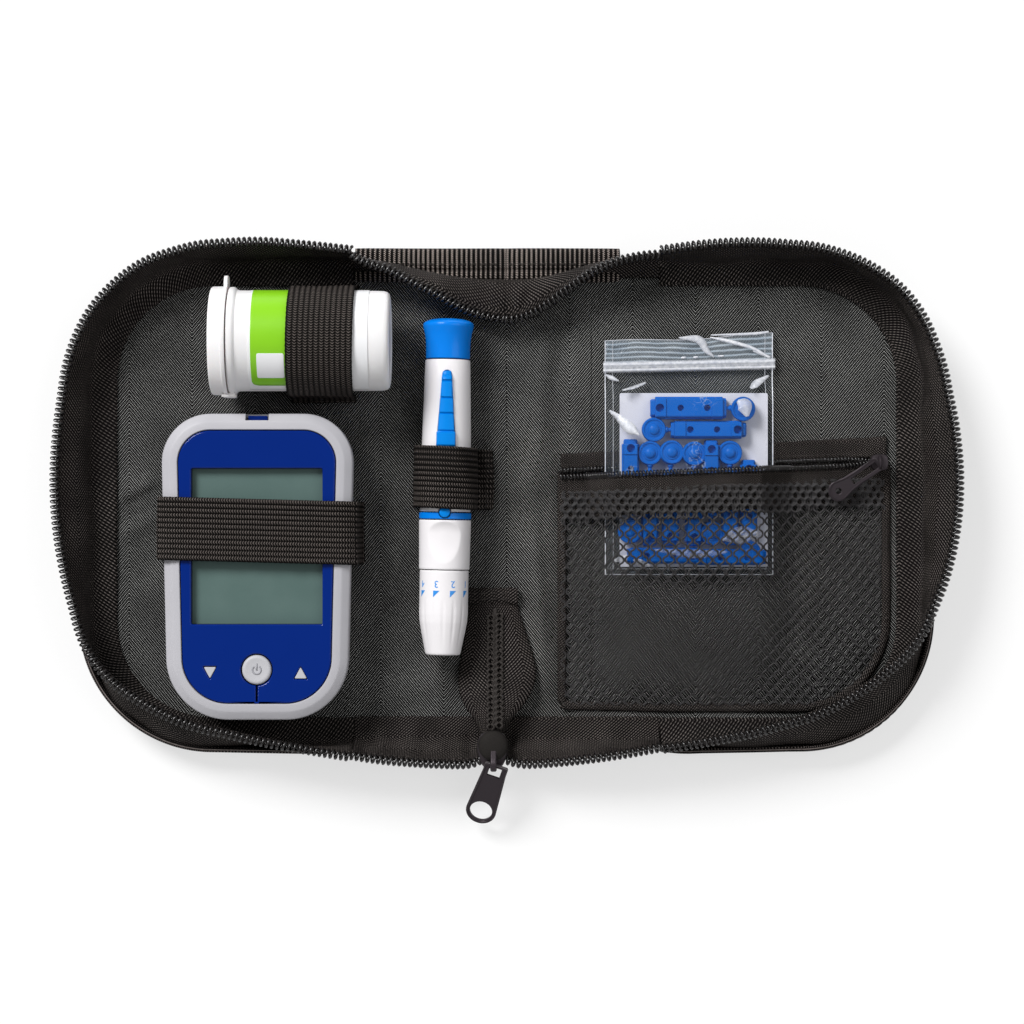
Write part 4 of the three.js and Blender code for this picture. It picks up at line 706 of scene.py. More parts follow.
def lining_swell(x, y):
    height = 0.22 * np.sin(x / 13.0 + 0.6) * np.sin(y / 17.0 + 1.1) + 0.12 * np.sin(x / 5.3 - y / 8.1)
    for (x0, y0), (x1, y1), rise, width in puckers:
        dx, dy = x1 - x0, y1 - y0
        run = dx * dx + dy * dy
        share = np.clip(((x - x0) * dx + (y - y0) * dy) / run, 0, 1)
        away = np.hypot(x - x0 - share * dx, y - y0 - share * dy)
        ends = np.minimum(1, np.minimum(share, 1 - share) * 4 + 0.15)
        height = height + rise * ends * np.exp(-((away / width) ** 2))
    return height


print("the linings have", len(puckers), "puckers")

# %% Cover and lining floors
def outline_reach(u, edge, radius):
    """How far a floor reaches from its middle line to its ends at a distance u from the spine."""
    straight = HALF_REACH - CORNER
    past = np.clip(u - straight, 0, radius)
    return edge - radius + np.sqrt(radius**2 - past**2)


def floor_grid(side, inner, offset, columns=110, rows=110, flap=0.0):
    radius = CORNER + offset
    outer = HALF_REACH + offset
    turn = np.linspace(0, 1, columns)
    u = np.where(turn < 0.7, inner + (HALF_REACH - CORNER - inner) * turn / 0.7, 0)
    bend = np.clip((turn - 0.7) / 0.3, 0, 1)
    u = np.where(
        turn < 0.7, u, HALF_REACH - CORNER + (outer - HALF_REACH + CORNER) * np.sin(bend * math.pi / 2),
    )
    back = outline_reach(u, FLOOR_BACK + offset, radius)
    front = outline_reach(u, FLOOR_FRONT + offset, radius)
    if flap:
        near = np.clip((WALL_START + 4 - u) / 6, 0, 1)
        back, front = back + near * (flap - offset), front + near * (flap - offset)
    share = np.linspace(0, 1, rows)[None, :]
    y = back[:, None] * (1 - share) - front[:, None] * share
    x = np.repeat(side * u[:, None], rows, axis=1)
    return np.stack([x, y, np.zeros_like(x)], axis=2)


halves = {-1: "left", 1: "right"}
for side, half in halves.items():
    grid = floor_grid(side, FOLD + 1.4, 2.6, flap=4.5)
    grid[:, :, 2] = COVER_MIDDLE
    board = f"{half}_stiffener_board"
    body = f"{half}_half"
    cover = cloth_piece(f"{half}_cover_floor", grid[::side], COVER_THICK, cover_cloth, body, "woven_cover")
    cut_size(cover, 100, 140, "stretched", board)

    over_tape = 1.6
    grid = floor_grid(side, FOLD + 1.0, over_tape, columns=150, rows=150)
    x, y = grid[:, :, 0], grid[:, :, 1]
    u = np.abs(x)
    back = outline_reach(u, FLOOR_BACK + over_tape, CORNER + over_tape) - y
    front = y + outline_reach(u, FLOOR_FRONT + over_tape, CORNER + over_tape)
    edge = np.minimum(np.minimum(back, front), HALF_REACH + over_tape - u)
    swell = np.maximum(lining_swell(x, y), -0.35) * np.clip(edge / 4, 0, 1)
    grid[:, :, 2] = 2.75 + swell + 0.5 * np.exp(-edge / 1.5)
    points, faces, _ = cloth_grid(grid[::side], LINING_THICK)
    panel = piece(
        f"{half}_lining", (points, faces), lining, f"{half}_half", "lining_twill",
        f"{half}_lining_panel", cloth=points[:, :2],
    )
    cut_size(panel, 98, 135, "laid", board)
    dress(board, stiffener)
print("floors laid")

# %% [markdown]
# ## Walls: cover, zip tape and rim
# The cover turns up round the floor and ends half way up the wall in a hem that is turned in and
# stitched. From behind it the zip tape carries on to the rim. Inside the case the tape is seen all
# the way down to the lining. It was sewn on by hand, so it ripples: a few waves of different lengths
# along the rim keep the ripple from repeating.

# %% Wall cloths
def ripple(grid, depth, seed):
    """Moves a grid along its own normal in slow waves, less at its rim."""
    rng = random.Random(seed)
    rows, columns = grid.shape[:2]
    along = np.linspace(0, rows, rows)[:, None]
    across = np.linspace(0, 1, columns)[None, :]
    height = np.zeros((rows, columns))
    for _ in range(7):
        tall = rng.uniform(0.4, 1)
        height += tall * np.sin(
            along * rng.uniform(0.05, 0.34) + across * rng.uniform(-5, 5) + rng.uniform(0, 6)
        )
    hold = np.sin(np.clip(across, 0, 1) * math.pi) ** 0.7
    return grid + normals_of(grid) * (depth / 2.2 * height * hold)[:, :, None]


def cover_section(lean, place):
    """The cover's way up the wall. It ends at 0.66 of its height, and lower near the wall's ends."""
    rim = lean + 0.7
    knots = [
        (0.3, 0.9), (4.6, 1.0), (7.6, 3.7), (8.6, 6.6), (7.83 + 0.1 * rim, 9.4),
        (4.35 + 0.5 * rim, 13.8), (rim, WALL_TOP),
    ]
    high = 0.4 + 0.26 * min(1, min(place, PLACES - place) / 0.8)
    return evenly(rounded(knots, 90)[: int(round(90 * high))], 16)


def tape_section(lean, place):
    rim = lean + 0.55
    knots = [
        (-0.9, 3.6), (3.0, 3.8), (6.2, 4.7), (7.3, 7.2), (6.45 + 0.1 * rim, 9.8),
        (3.1 + 0.5 * rim, 13.7), (rim - 0.4, 17.2), (rim, WALL_TOP + 0.3),
    ]
    return evenly(rounded(knots, 90), 22)


rims = {}
for side, half in halves.items():
    body = f"{half}_half"
    grid = wall_grid(side, cover_section)
    grid[:, :, 2] = np.maximum(grid[:, :, 2], COVER_MIDDLE)
    wall = cloth_piece(
        f"{half}_cover_wall", grid[:, ::side], 1.15, cover_cloth, body, "woven_cover",
        f"{half}_outer_cover",
    )
    cut_size(wall, 275, 12, "stretched", f"{half}_stiffener_board")
    outward = grid[:, -4, :2] / np.linalg.norm(grid[:, -4, :2], axis=1, keepdims=True)
    hem = grid[:, -1] + np.c_[outward * 0.45, np.full(len(grid), 0.1)]
    lengths = np.c_[np.tile(np.arange(10) * 0.5, len(hem)), np.repeat(np.arange(len(hem)) * 1.8, 10)]
    roll = tube_parts(hem, 0.75, sides=10)
    piece(f"{half}_cover_hem", roll, cover_cloth, body, "woven_cover", cloth=lengths)
    seam_line = grid[:, -4] + normals_of(grid[:, ::side])[:, -4] * -0.5
    seam_line[:, :2] = grid[:, -4, :2] + outward * 0.62
    sewn(f"{half}_hem_stitches", seam_line, body, "woven_cover")

    grid = ripple(wall_grid(side, tape_section, count=260), 0.5, seed=4 + side)
    tape = cloth_piece(
        f"{half}_tape", grid[:, ::-side], TAPE_THICK, wide_tape, body, "zip_tape",
        f"{half}_zip_tape",
    )
    cut_size(tape, 280, 20, "stretched", f"{half}_cover_wall")
    rims[side] = grid[:, -1]
    inner = grid[:, -3] + normals_of(grid[:, ::-side])[:, 2] * 0.42
    sewn(f"{half}_tape_stitches", inner, body, "zip_tape", **TAPE_STITCH)
print("walls stand", WALL_TOP, "mm high")

# %% [markdown]
# ## The zip's coil
# A nylon zip is one long wire, wound in a flattened helix and sewn along the tape's edge. Each turn
# is pressed wide on its outer side, and that bulge is the tooth. It is built as it is made: one tube
# on a helix that follows the rim, and thicker where the turn faces out. The pitch is 1.6 mm.

# %% Coil along a rim
PITCH = 1.6


def coil_parts(rim, outward, reach=1.15, height=0.85, wire=0.34, head=0.2, pitch=PITCH):
    """A helix along a rim line; outward is the direction in which the teeth face."""
    steps = 10
    fine = evenly(np.c_[rim, outward], step=pitch / steps)
    line, out = fine[:, :3], unit(fine[:, 3:6])
    up = np.cross(unit(np.gradient(line, axis=0)), out)
    up *= np.sign(up[:, 2:3] + 1e-9)
    turn = np.arange(len(line)) * math.tau / steps
    wound = line + out * (np.cos(turn) * reach)[:, None] + up * (np.sin(turn) * height)[:, None]
    radius = wire + head * np.clip(np.cos(turn), 0, 1) ** 2
    return tube_parts(wound, radius, sides=6)


def away_from(line, side_of=None):
    """Directions level with the floor and square to a line, pointing away from the case's middle."""
    way = np.gradient(line, axis=0)
    out = unit(np.stack([way[:, 1], -way[:, 0], np.zeros(len(line))], axis=1))
    flip = np.sign((out * line).sum(axis=1, keepdims=True))
    return out * (flip if side_of is None else side_of)


for side, half in halves.items():
    line = rims[side] + [0, 0, 0.75]
    out = away_from(line, side_of=-side)
    line = line + out * 0.35
    coil = piece(
        f"{half}_coil", coil_parts(line, out), nylon, f"{half}_half", "zip_nylon", f"{half}_zip_teeth",
    )
    print(coil.name, "has about", len(coil.data.vertices) // 60, "teeth")

# %% [markdown]
# ## The ends of the spine
# Between the halves the tape has nothing to hold it up. At the top end it slumps into the case and
# its coil sags in a bow, with a wrinkle or two fanning out from the lowest point. At the bottom end
# it runs down to the slider. These pieces cross the folds. The top one is split at the spine's
# middle, one part for each fold.

# %% Top dip
dip_rim = rounded([
    (-46.0, 74.6, 18.4), (-42.5, 72.6, 17.4), (-35.2, 70.3, 16.1), (-28.0, 66.8, 14.2), (-20.7, 63.3, 12.3),
    (-13.6, 59.5, 10.4), (-6.3, 57.0, 9.2), (-0.5, 56.1, 8.7), (5.2, 56.8, 9.1), (11.7, 60.1, 10.9),
    (18.9, 65.1, 13.5), (26.2, 70.0, 15.9), (33.4, 72.8, 17.3), (40.0, 74.2, 18.0), (46.0, 74.7, 18.4),
], 241)


RIM_UP, RIM_DOWN = 18.4, 8.7


def dip_section(rim_y, rim_z):
    """The slumped tape's section: upright by the halves, and lying over at the lowest place."""
    sag = float(np.clip((RIM_UP - rim_z) / (RIM_UP - RIM_DOWN), 0, 1))
    upright = np.array([(66.4, 2.6), (70.6, 3.6), (74.4, 8.0), (74.4, 13.0)])
    slump = np.array([(67.2, 2.6), (67.6, 5.4), (66.0, 9.4), (61.5, 10.6)])
    knots = upright * (1 - sag) + slump * sag
    knots = np.vstack([knots, [[rim_y, rim_z]]])
    return evenly(rounded(knots, 60), 26)


def fan(x, y):
    """Wrinkles that fan out over the slumped tape from a point behind the lowest tooth."""
    angle = np.arctan2(y - 55.0, x - 3.0)
    away = np.hypot(x - 3.0, y - 55.0)
    return 0.5 * np.sin(angle * 9.0 + 0.8) * np.exp(-((away - 9.0) / 7.0) ** 2)


BEND = 3.3


def over_fold(thing, side, slot, *nodes, shared=None):
    """Bakes a piece's place into its mesh and hides the CAD nodes it stands for. The left one of a pair
    stands for the CAD node they share.
    """
    start, end = ((side * (FOLD + way * BEND) * MM, 0, 0) for way in (1, -1))
    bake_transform(thing)
    if shared and side < 0:
        nodes = (shared,)
    if nodes:
        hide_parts(*nodes)


dip = np.array([[(x, y, z) for y, z in dip_section(ry, rz)] for x, ry, rz in dip_rim])
dip[:, :, 2] += fan(dip[:, :, 0], dip[:, :, 1]) * np.sin(np.linspace(0, math.pi, 26))[None, :]
top_stitch = dip[:, -3] + [0, 0, 0.42]
coil_line = dip[:, -1] + [0, -0.2, 0.6]
inward = -away_from(coil_line)
for side, half in halves.items():
    some = slice(0, 121) if side < 0 else slice(120, 241)
    tape = cloth_piece(f"top_dip_tape_{half}", dip[some], TAPE_THICK, wide_tape)
    cut_size(tape, 49, 15, "draped", f"{half}_tape")
    over_fold(tape, side, "zip_tape", shared="top_dip_tape")
    over_fold(sewn(f"top_dip_stitches_{half}", top_stitch[some], **TAPE_STITCH), side, "zip_tape")
    coil = piece(f"top_dip_coil_{half}", coil_parts(coil_line[some], inward[some]), nylon)
    over_fold(coil, side, "zip_nylon", shared="top_dip_teeth")
print("top dip is", round(float(74.6 - dip_rim[:, 1].min()), 1), "mm deep")

# %% Bottom tapes down to the slider
SLIDER_X = -4.2
front_rims = {
    -1: [(-46.0, -73.9, 18.4), (-37.9, -75.2, 17.6), (-28.0, -76.2, 16.2),
         (-18.0, -76.9, 14.2), (-11.3, -76.9, 12.9), (-7.6, -75.6, 12.3)],
    1: [(46.0, -71.5, 18.4), (36.0, -73.4, 17.6), (25.0, -75.1, 16.2),
        (14.0, -76.4, 14.2), (5.0, -76.9, 12.9), (-0.6, -75.6, 12.3)],
}
for side, half in halves.items():
    rim = rounded(front_rims[side], 110)
    rows = []
    for x, y, z in rim:
        low = z / RIM_UP
        knots = [
            (-63.8, 3.45), (-67.5, 3.8), (-70.6 - (1 - low) * 2, 5.6 * low),
            ((-70.6 + y) / 2 - 0.6, 11.5 * low), (y, z),
        ]
        rows.append([(x, a, b) for a, b in evenly(rounded(knots, 60), 22)])
    grid = ripple(np.array(rows), 0.55, seed=11 + side)
    tape = cloth_piece(f"bottom_tape_{half}", grid[:, ::-side], TAPE_THICK, wide_tape)
    cut_size(tape, 45, 20, "draped", f"{half}_tape")
    over_fold(tape, side, "zip_tape", f"bottom_{half}_gusset")
    line = grid[:, -1] + [0, -0.3, 0.65]
    over_fold(piece(f"bottom_coil_{half}", coil_parts(line, away_from(line)), nylon), side, "zip_nylon")
    stitches = grid[:, -3] + [0, 0.3, 0.3]
    over_fold(sewn(f"bottom_stitches_{half}", stitches, **TAPE_STITCH), side, "zip_tape")
print("bottom tapes meet at x =", SLIDER_X, "mm")

# %% [markdown]
# ## Spine
# The spine's cover is one strip of the coarse cloth. Its lining runs over both folds on to the
# floors, and has a long soft crease where the case is bent each time it is closed. It carries the
# same lengths as the floors' lining, so the twill runs on across the join.

# %% Spine cover and lining
for side, half in halves.items():
    x = side * np.linspace(0, FOLD + 3.9, 40)
    y = np.linspace(FLOOR_BACK + 4.5, -FLOOR_FRONT - 4.5, 120)
    gx, gy = np.meshgrid(x, y, indexing="ij")
    grid = np.stack([gx, gy, np.full_like(gx, COVER_MIDDLE)], axis=2)
    cover = cloth_piece(f"spine_cover_{half}", grid[::side], COVER_THICK, cover_cloth)
    cut_size(cover, 25, 141, "laid", f"{half}_cover_floor")
    over_fold(cover, side, "woven_cover", shared="spine_cover")

    x = side * np.linspace(0, FOLD + 4.6, 70)
    y = np.linspace(FLOOR_BACK + 1.2, -FLOOR_FRONT - 1.2, 190)
    gx, gy = np.meshgrid(x, y, indexing="ij")
    rise = np.clip((np.abs(gx) - 15.5) / 6, 0, 1)
    swell = lining_swell(gx, gy)
    gz = 1.75 + 1.12 * rise * rise * (3 - 2 * rise) + np.maximum(swell, -0.25)
    points, faces, _ = cloth_grid(np.stack([gx, gy, gz], axis=2)[::side], LINING_THICK)
    sheet = piece(f"spine_lining_{half}", (points, faces), lining, cloth=points[:, :2])
    over_fold(sheet, side, "lining_twill", shared="spine_lining")
    cut_size(sheet, 26, 138, "laid", f"{half}_lining")
print("spine is", 2 * FOLD, "mm wide")

# %% [markdown]
# The hem across the top of the spine is a heavy ribbed webbing, folded once and stitched along its
# middle, which leaves two rolls with a valley between them.

# %% Top webbing
def webbing_grid(start, end):
    x = np.linspace(start, end, int(abs(end - start) * 2.2))
    profile = evenly(rounded([
        (76.6, 1.6), (77.2, 2.8), (76.0, 4.3), (73.4, 4.7), (71.6, 4.5), (70.9, 3.7), (70.2, 4.2),
        (69.0, 4.6), (67.9, 3.9), (67.6, 2.2),
    ], 120), 28)
    ends = np.minimum(1, np.minimum(x - x.min(), x.max() - x) / 3.0)
    foot = 1.4
    rows = []
    for i, place in enumerate(x):
        rib = 0.13 * math.sin(place / 1.5 * math.tau) + 0.22 * math.sin(place / 8.7 + 0.5)
        tall = 0.7 + 0.3 * ends[i]
        rows.append([(place, y + 0.1 * rib, foot + (z - foot) * tall + rib * 0.8) for y, z in profile])
    return np.array(rows)


def webbing_finish():
    web = Finish("ribbed_webbing", Specular_IOR_Level=0.1)
    across, along = web.along_cloth()
    rib = (along / 1.5).to_wave()
    yarn = ((across + (along / 0.75).to_wave() * 0.25) / 0.62).to_wave()
    fine = web.noise(1.6, 3.0)
    # Painted sheen: the webbing's raised ribs are coloured pale, standing for the light caught on them.
    painted_sheen = rib.from_to(0.35, 0.95) * yarn.from_to(0.3, 0.95) * (fine + 0.4)
    color = web.mix(painted_sheen, ink(7, 5, 4), ink(196, 182, 174))
    return web.paint(color, 0.75 - painted_sheen * 0.2, rib * 0.6 + yarn * 0.5 + fine * 0.3, 0.36, 1.0)


ribbed_webbing = webbing_finish()
for side, half, ends in ((-1, "left", (-45.7, 0.0)), (1, "right", (0.0, 34.0))):
    grid = webbing_grid(*ends)
    hem = cloth_piece(f"top_webbing_{half}", grid, 0.8, ribbed_webbing)
    over_fold(hem, side, "woven_cover", shared="top_webbing")
    cut_size(hem, ends[1] - ends[0], 15, "folded", f"spine_cover_{half}")
    valley = grid[:, 13] + [0, 0, 0.55]
    over_fold(
        sewn(f"webbing_stitches_{half}", valley, length=2.4, gap=0.8, radius=0.2), side, "woven_cover",
    )
    print("webbing", half, "runs from", *ends, "mm")

# %% [markdown]
# ## The zip's closed tail
# Below the slider the zip is sewn shut for its last 40 mm. That end was tucked into the case and
# stitched to the spine's lining, so it lies there as a leaf: narrow at the slider, wide in the
# middle, with edges that curl down. Two columns of chain stitch cover the closed coil.

# %% Tail leaf
tail_stations = np.array([
    # y, middle x, width, height of its underside over the spine's lining
    (-68.5, -4.2, 7.0, 8.7), (-65.0, -4.1, 10.5, 8.2), (-62.0, -4.0, 15.5, 7.0), (-58.5, -3.6, 20.0, 5.7),
    (-54.0, -3.0, 22.8, 3.9), (-49.0, -2.8, 22.6, 2.4), (-44.0, -3.0, 20.6, 1.4), (-38.0, -3.5, 17.6, 0.8),
    (-32.0, -4.0, 15.0, 0.4), (-28.6, -4.1, 14.8, 0.4),
])
leaf = rounded(tail_stations, 90)
across = np.linspace(-1, 1, 31)
grid = np.zeros((90, 31, 3))
for i, (y, x, width, lift) in enumerate(leaf):
    curl = np.abs(across) ** 3
    grid[i, :, 0] = x + across * width / 2
    grid[i, :, 1] = y + 0.6 * curl
    grid[i, :, 2] = SPINE_TOP + 0.55 + lift + 0.9 * (1 - across**2) - min(lift, 1.6) * curl
grid = ripple(grid, 0.28, seed=21)
points, faces, lengths = cloth_grid(grid[::-1], TAPE_THICK)
# The herringbone turns at whole stripes, so the leaf's middle is put on one.
lengths[:, 0] += 60 - lengths[:, 0].max() / 2
leaf_piece = piece(
    "tail_leaf", (points, faces), wide_tape, "spine", "zip_tape",
    "zip_tail_tape", cloth=lengths,
)
cut_size(leaf_piece, 20, 40, "laid", "spine_lining_left")


def chain_stitches(column_x, start_y, end_y, pitch=1.62):
    """A column of V-shaped loops, each pulled through the last."""
    parts = []
    for y in np.arange(start_y, end_y, pitch):
        i = int(np.argmin(np.abs(leaf[:, 0] - y)))
        z = SPINE_TOP + 0.55 + leaf[i, 3] + 1.6
        for way in (-1, 1):
            line = rounded([
                (column_x + way * 0.2, y - 0.9, z - 0.15), (column_x + way * 0.95, y - 0.1, z + 0.2),
                (column_x + way * 0.85, y + 0.55, z + 0.25), (column_x + way * 0.15, y + 0.95, z),
            ], 7)
            parts.append(tube_parts(line, 0.34, sides=6))
    return parts


chain = chain_stitches(-4.75, -66.5, -33.0) + chain_stitches(-2.2, -66.0, -32.6)
ridge = [(-3.5, y, SPINE_TOP + 0.4 + lift + 1.2) for y, _, _, lift in leaf[6:-8]]
chain.append(tube_parts(ridge, 0.8, sides=8))
piece("tail_chain", joined(chain), thread, "spine", "zip_nylon", "zip_tail_chain")

x = np.linspace(-11.6, 3.4, 34)
fold = [(-25.6, 2.7), (-25.3, 3.6), (-26.6, 4.5), (-28.2, 4.4), (-29.3, 4.1), (-29.8, 3.2)]
fold = evenly(rounded(fold, 40), 14)
hem = [[(place, y + 0.15 * math.sin(place * 1.7), z) for y, z in fold] for place in x]
cloth_piece("tail_hem", np.array(hem), TAPE_THICK, wide_tape, "spine", "zip_tape")
two_rows = stitch_parts([(px, -28.4, 4.95) for px in x]) + stitch_parts([(px, -26.6, 5.0) for px in x])
piece("tail_hem_stitches", joined(two_rows), thread, "spine", "zip_tape")
print("tail leaf is", round(float(leaf[:, 2].max()), 1), "mm wide")

# %% [markdown]
# ## Slider and pull tabs
# A slider is two cast plates round the coil, joined by a wedge, and a bail on top that the pull tab
# hangs from. Each plate is crowned, so its rings step inwards as they rise. A pull tab is stamped
# from flat metal: it is drawn as a flat outline with its window and hole, and thickened with a small
# round on every edge, which a filled curve does by itself.


# %% Stacks of rings and crisp edges
def stack(rings, loop=False):
    """One skin over rings of equal count: capped at both ends, or led back to the first ring."""
    rings = np.asarray(rings, float)
    rows, count = rings.shape[:2]
    faces = quads(rows, count, close_rows=loop, close_columns=True)
    if not loop:
        faces.append(tuple(reversed(range(count))))
        faces.append(tuple((rows - 1) * count + k for k in range(count)))
    return rings.reshape(-1, 3), faces


def mark_sharp(thing, degrees=35):
    thing.data.set_sharp_from_angle(angle=math.radians(degrees))
    return thing


def crisp(name, shape, finish, *where, degrees=35):
    """A hard piece. Its edges stay crisp where faces meet at more than this angle."""
    return mark_sharp(piece(name, shape, finish, *where), degrees)


print("a box is a stack of two rings:", len(stack(np.zeros((2, 4, 3)))[1]), "faces")


# %% Plates
def shape_of(curve):
    """The points and faces of a curve or a text, which is then removed."""
    holder = bpy.data.objects.new("outline", curve)
    mesh = bpy.data.meshes.new_from_object(holder)
    points = np.zeros(len(mesh.vertices) * 3)
    mesh.vertices.foreach_get("co", points)
    faces = [tuple(polygon.vertices) for polygon in mesh.polygons]
    bpy.data.objects.remove(holder)
    bpy.data.curves.remove(curve)
    bpy.data.meshes.remove(mesh)
    return points.reshape(-1, 3), faces


def flat_plate(outlines, thickness, edge, z=0.0):
    """Points and faces of a plate with holes, its edges rounded, between z and z + thickness."""
    curve = bpy.data.curves.new("outline", "CURVE")
    curve.dimensions = "2D"
    curve.fill_mode = "BOTH"
    for outline in outlines:
        line = curve.splines.new("POLY")
        line.points.add(len(outline) - 1)
        for point, (px, py) in zip(line.points, outline):
            point.co = (px, py, 0, 1)
        line.use_cyclic_u = True
    curve.extrude = thickness / 2 - edge
    curve.bevel_depth = edge
    curve.bevel_resolution = 2
    curve.offset = -edge
    points, faces = shape_of(curve)
    return points + [0, 0, z + thickness / 2], faces


def circle(x, y, radius, count=32, start=0.0, sweep=math.tau):
    angle = start + np.linspace(0, sweep, count, endpoint=sweep < math.tau)
    return [(x + radius * math.cos(a), y + radius * math.sin(a)) for a in angle]


def turned_about(shape, tilt, yaw, move):
    """Tilts a shape about X, then turns it about Z, in degrees, then moves it."""
    points, faces = shape
    a, b = math.radians(tilt), math.radians(yaw)
    x, y, z = np.asarray(points, float).T
    y, z = y * math.cos(a) - z * math.sin(a), y * math.sin(a) + z * math.cos(a)
    x, y = x * math.cos(b) - y * math.sin(b), x * math.sin(b) + y * math.cos(b)
    return np.stack([x, y, z], axis=1) + move, faces


print("a quarter turn takes", (1, 0, 0), "to", turned_about(([(1, 0, 0)], []), 0, 90, 0)[0].round(3)[0])


# %% Main slider and its pull
def slider_outline(scale, z):
    knots = [(-2.7, -78.1), (0, -78.7), (2.7, -78.1), (4.0, -75.6), (4.6, -72.2), (3.6, -68.9),
             (1.8, -67.8), (-1.8, -67.8), (-3.6, -68.9), (-4.6, -72.2), (-4.0, -75.6)]
    centre = np.array([0, -73.2])
    line = centre + (rounded(knots, 48, closed=True) - centre) * scale
    return [(SLIDER_X + px, py, z) for px, py in line]


def slider_disc(x, y, radius, z, count):
    return [(SLIDER_X + px, py, z) for px, py in circle(x, y, radius, count)]


upper_steps = [
    (0.9, 13.0), (0.99, 13.05), (1.0, 13.4), (0.985, 13.9), (0.93, 14.3), (0.8, 14.55), (0.55, 14.65),
    (0.25, 14.7),
]
lower_steps = [(0.9, 9.4), (0.99, 9.5), (1.0, 9.9), (0.98, 10.4), (0.9, 10.5)]
cap_steps = [
    (3.9, 14.5), (4.4, 14.8), (4.5, 15.3), (4.45, 16.2), (4.2, 16.8), (3.5, 17.3), (2.3, 17.65),
    (0.8, 17.8),
]
upper = stack([slider_outline(scale, z) for scale, z in upper_steps])
lower = stack([slider_outline(scale, z) for scale, z in lower_steps])
wedge = stack([slider_disc(0, -75.0, 1.7, z, 20) for z in (10.3, 13.2)])
cap = stack([slider_disc(0.2, -71.7, radius, z, 40) for radius, z in cap_steps])


def black_paint():
    paint = Finish("matte_black_paint", Specular_IOR_Level=0.12)
    grain = paint.noise(4.0, 3.0)
    color = paint.mix(grain, ink(20, 18, 17), ink(46, 43, 41))
    return paint.paint(color, 0.72 + grain * 0.1, grain, 0.2, 0.5)


crisp("main_slider_cap", cap, black_paint(), "spine", "dark_metal")
leg = rounded(
    [(-73.2, 17.2), (-75.6, 17.7), (-77.4, 18.1), (-78.6, 17.3), (-78.8, 15.6), (-78.4, 13.6)], 30,
)
bail = [tube_parts([(SLIDER_X + x, y, z) for y, z in leg], 0.62, sides=12) for x in (-0.05, 0.3, 0.65)]
crisp(
    "main_slider_body", joined([upper, lower, wedge, *bail]), dark_metal, "spine", "dark_metal",
    "main_slider",
)


def pull_tab(length, width, neck, hole, window, window_width, thickness=1.0):
    """A pull tab from its bar at the origin along -Y, with a raised rim along its edge."""
    end = width / 2
    outline = circle(0, end - length, end, 26, math.pi, math.pi)
    side = neck / 2
    right = [(side + 0.25, -window - end * 0.5), (side, -window * 0.7), (side, -0.1), (side - 0.4, 0.4)]
    outline += right + [(-px, py) for px, py in reversed(right)]
    slot_half = window_width / 2
    slot = [(-slot_half, -window), (-slot_half, -0.5), (slot_half, -0.5), (slot_half, -window)]
    plate = flat_plate([outline, circle(0, end - length, hole, 29), slot], thickness, 0.18, -thickness / 2)
    rim = []
    middle = -length / 2
    for px, py in outline:
        shrink = 1 - 0.55 / max(1.5, math.hypot(px, py - middle))
        rim.append((px * shrink * 0.96, middle + (py - middle) * shrink, thickness / 2))
    return [plate, tube_parts(evenly(rim + rim[:1], 90)[:-1], 0.22, sides=6, close=True)]


pull = turned_about(joined(pull_tab(21.8, 9.2, 7.2, 3.4, 3.9, 3.7)), 31, -18.7, (-2.95, -77.72, 16.5))
crisp("main_pull", pull, dark_metal, "main_pull", "dark_metal", "main_pull_tab")
print("slider and pull made")

# %% [markdown]
# ## Elastics
# Each loop is a strip of knitted elastic, 19 mm wide, with about a dozen ribs along its length. The
# ribs are in the mesh, because they show in its outline, and the knit's stitches are in the finish.
# The loops stretch over what they hold, with their feet down on the lining.


# %% Strips of elastic
RIBS = 12
BAND_WIDE = 19


def elastic_strip(line, ribs_from, ribs_to, place, wave=0.12):
    """A ribbed strip along a line of (a, z), between two edges; place turns (a, z, edge) into a point."""
    share = np.linspace(0, 1, RIBS * 7 + 1)
    rows = []
    line = np.asarray(line, float)
    way = unit(np.gradient(line, axis=0))
    for i, ((a, z), (da, dz)) in enumerate(zip(line, way)):
        row = []
        for s in share:
            rib = 0.26 * abs(math.sin(s * RIBS * math.pi)) ** 0.6 + wave * math.sin(i * 0.31 + s * 5)
            edge = ribs_from + (ribs_to - ribs_from) * s
            if s < 1e-6 or s > 1 - 1e-6:
                edge += (0.14 if s > 0.5 else -0.14) * math.sin(i * 1.9)
            row.append(place(a - dz * rib, z + da * rib, edge))
        rows.append(row)
    return np.array(rows)


def loop_piece(name, grid, long, under, node):
    """A loop of elastic, its place baked into its mesh, standing for a CAD node."""
    strip = cut_size(cloth_piece(name, grid, ELASTIC_THICK, elastic), BAND_WIDE, long, "stretched", under)
    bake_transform(strip)
    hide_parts(node)


# Meter strap
METER_X = -73.8
TOP_HALF = 28.3
outer_side = [(2.3, 3.3), (1.2, 4.4), (0.85, 9.0), (0.85, 20.6), (-0.1, 22.5), (-3.0, 23.85), (-9, 23.95)]
over_meter = [(-TOP_HALF - out, z) for out, z in outer_side] + [(0, 23.9)]
over_meter += [(TOP_HALF + out, z) for out, z in reversed(outer_side)]
line = evenly(rounded([(METER_X + a, z) for a, z in over_meter], 300), 210)
grid = elastic_strip(line, -16.75, 1.5, lambda a, z, e: (a, e - 0.026 * (a - METER_X), z))
loop_piece("meter_loop", grid, 95, "left_lining", "meter_strap")

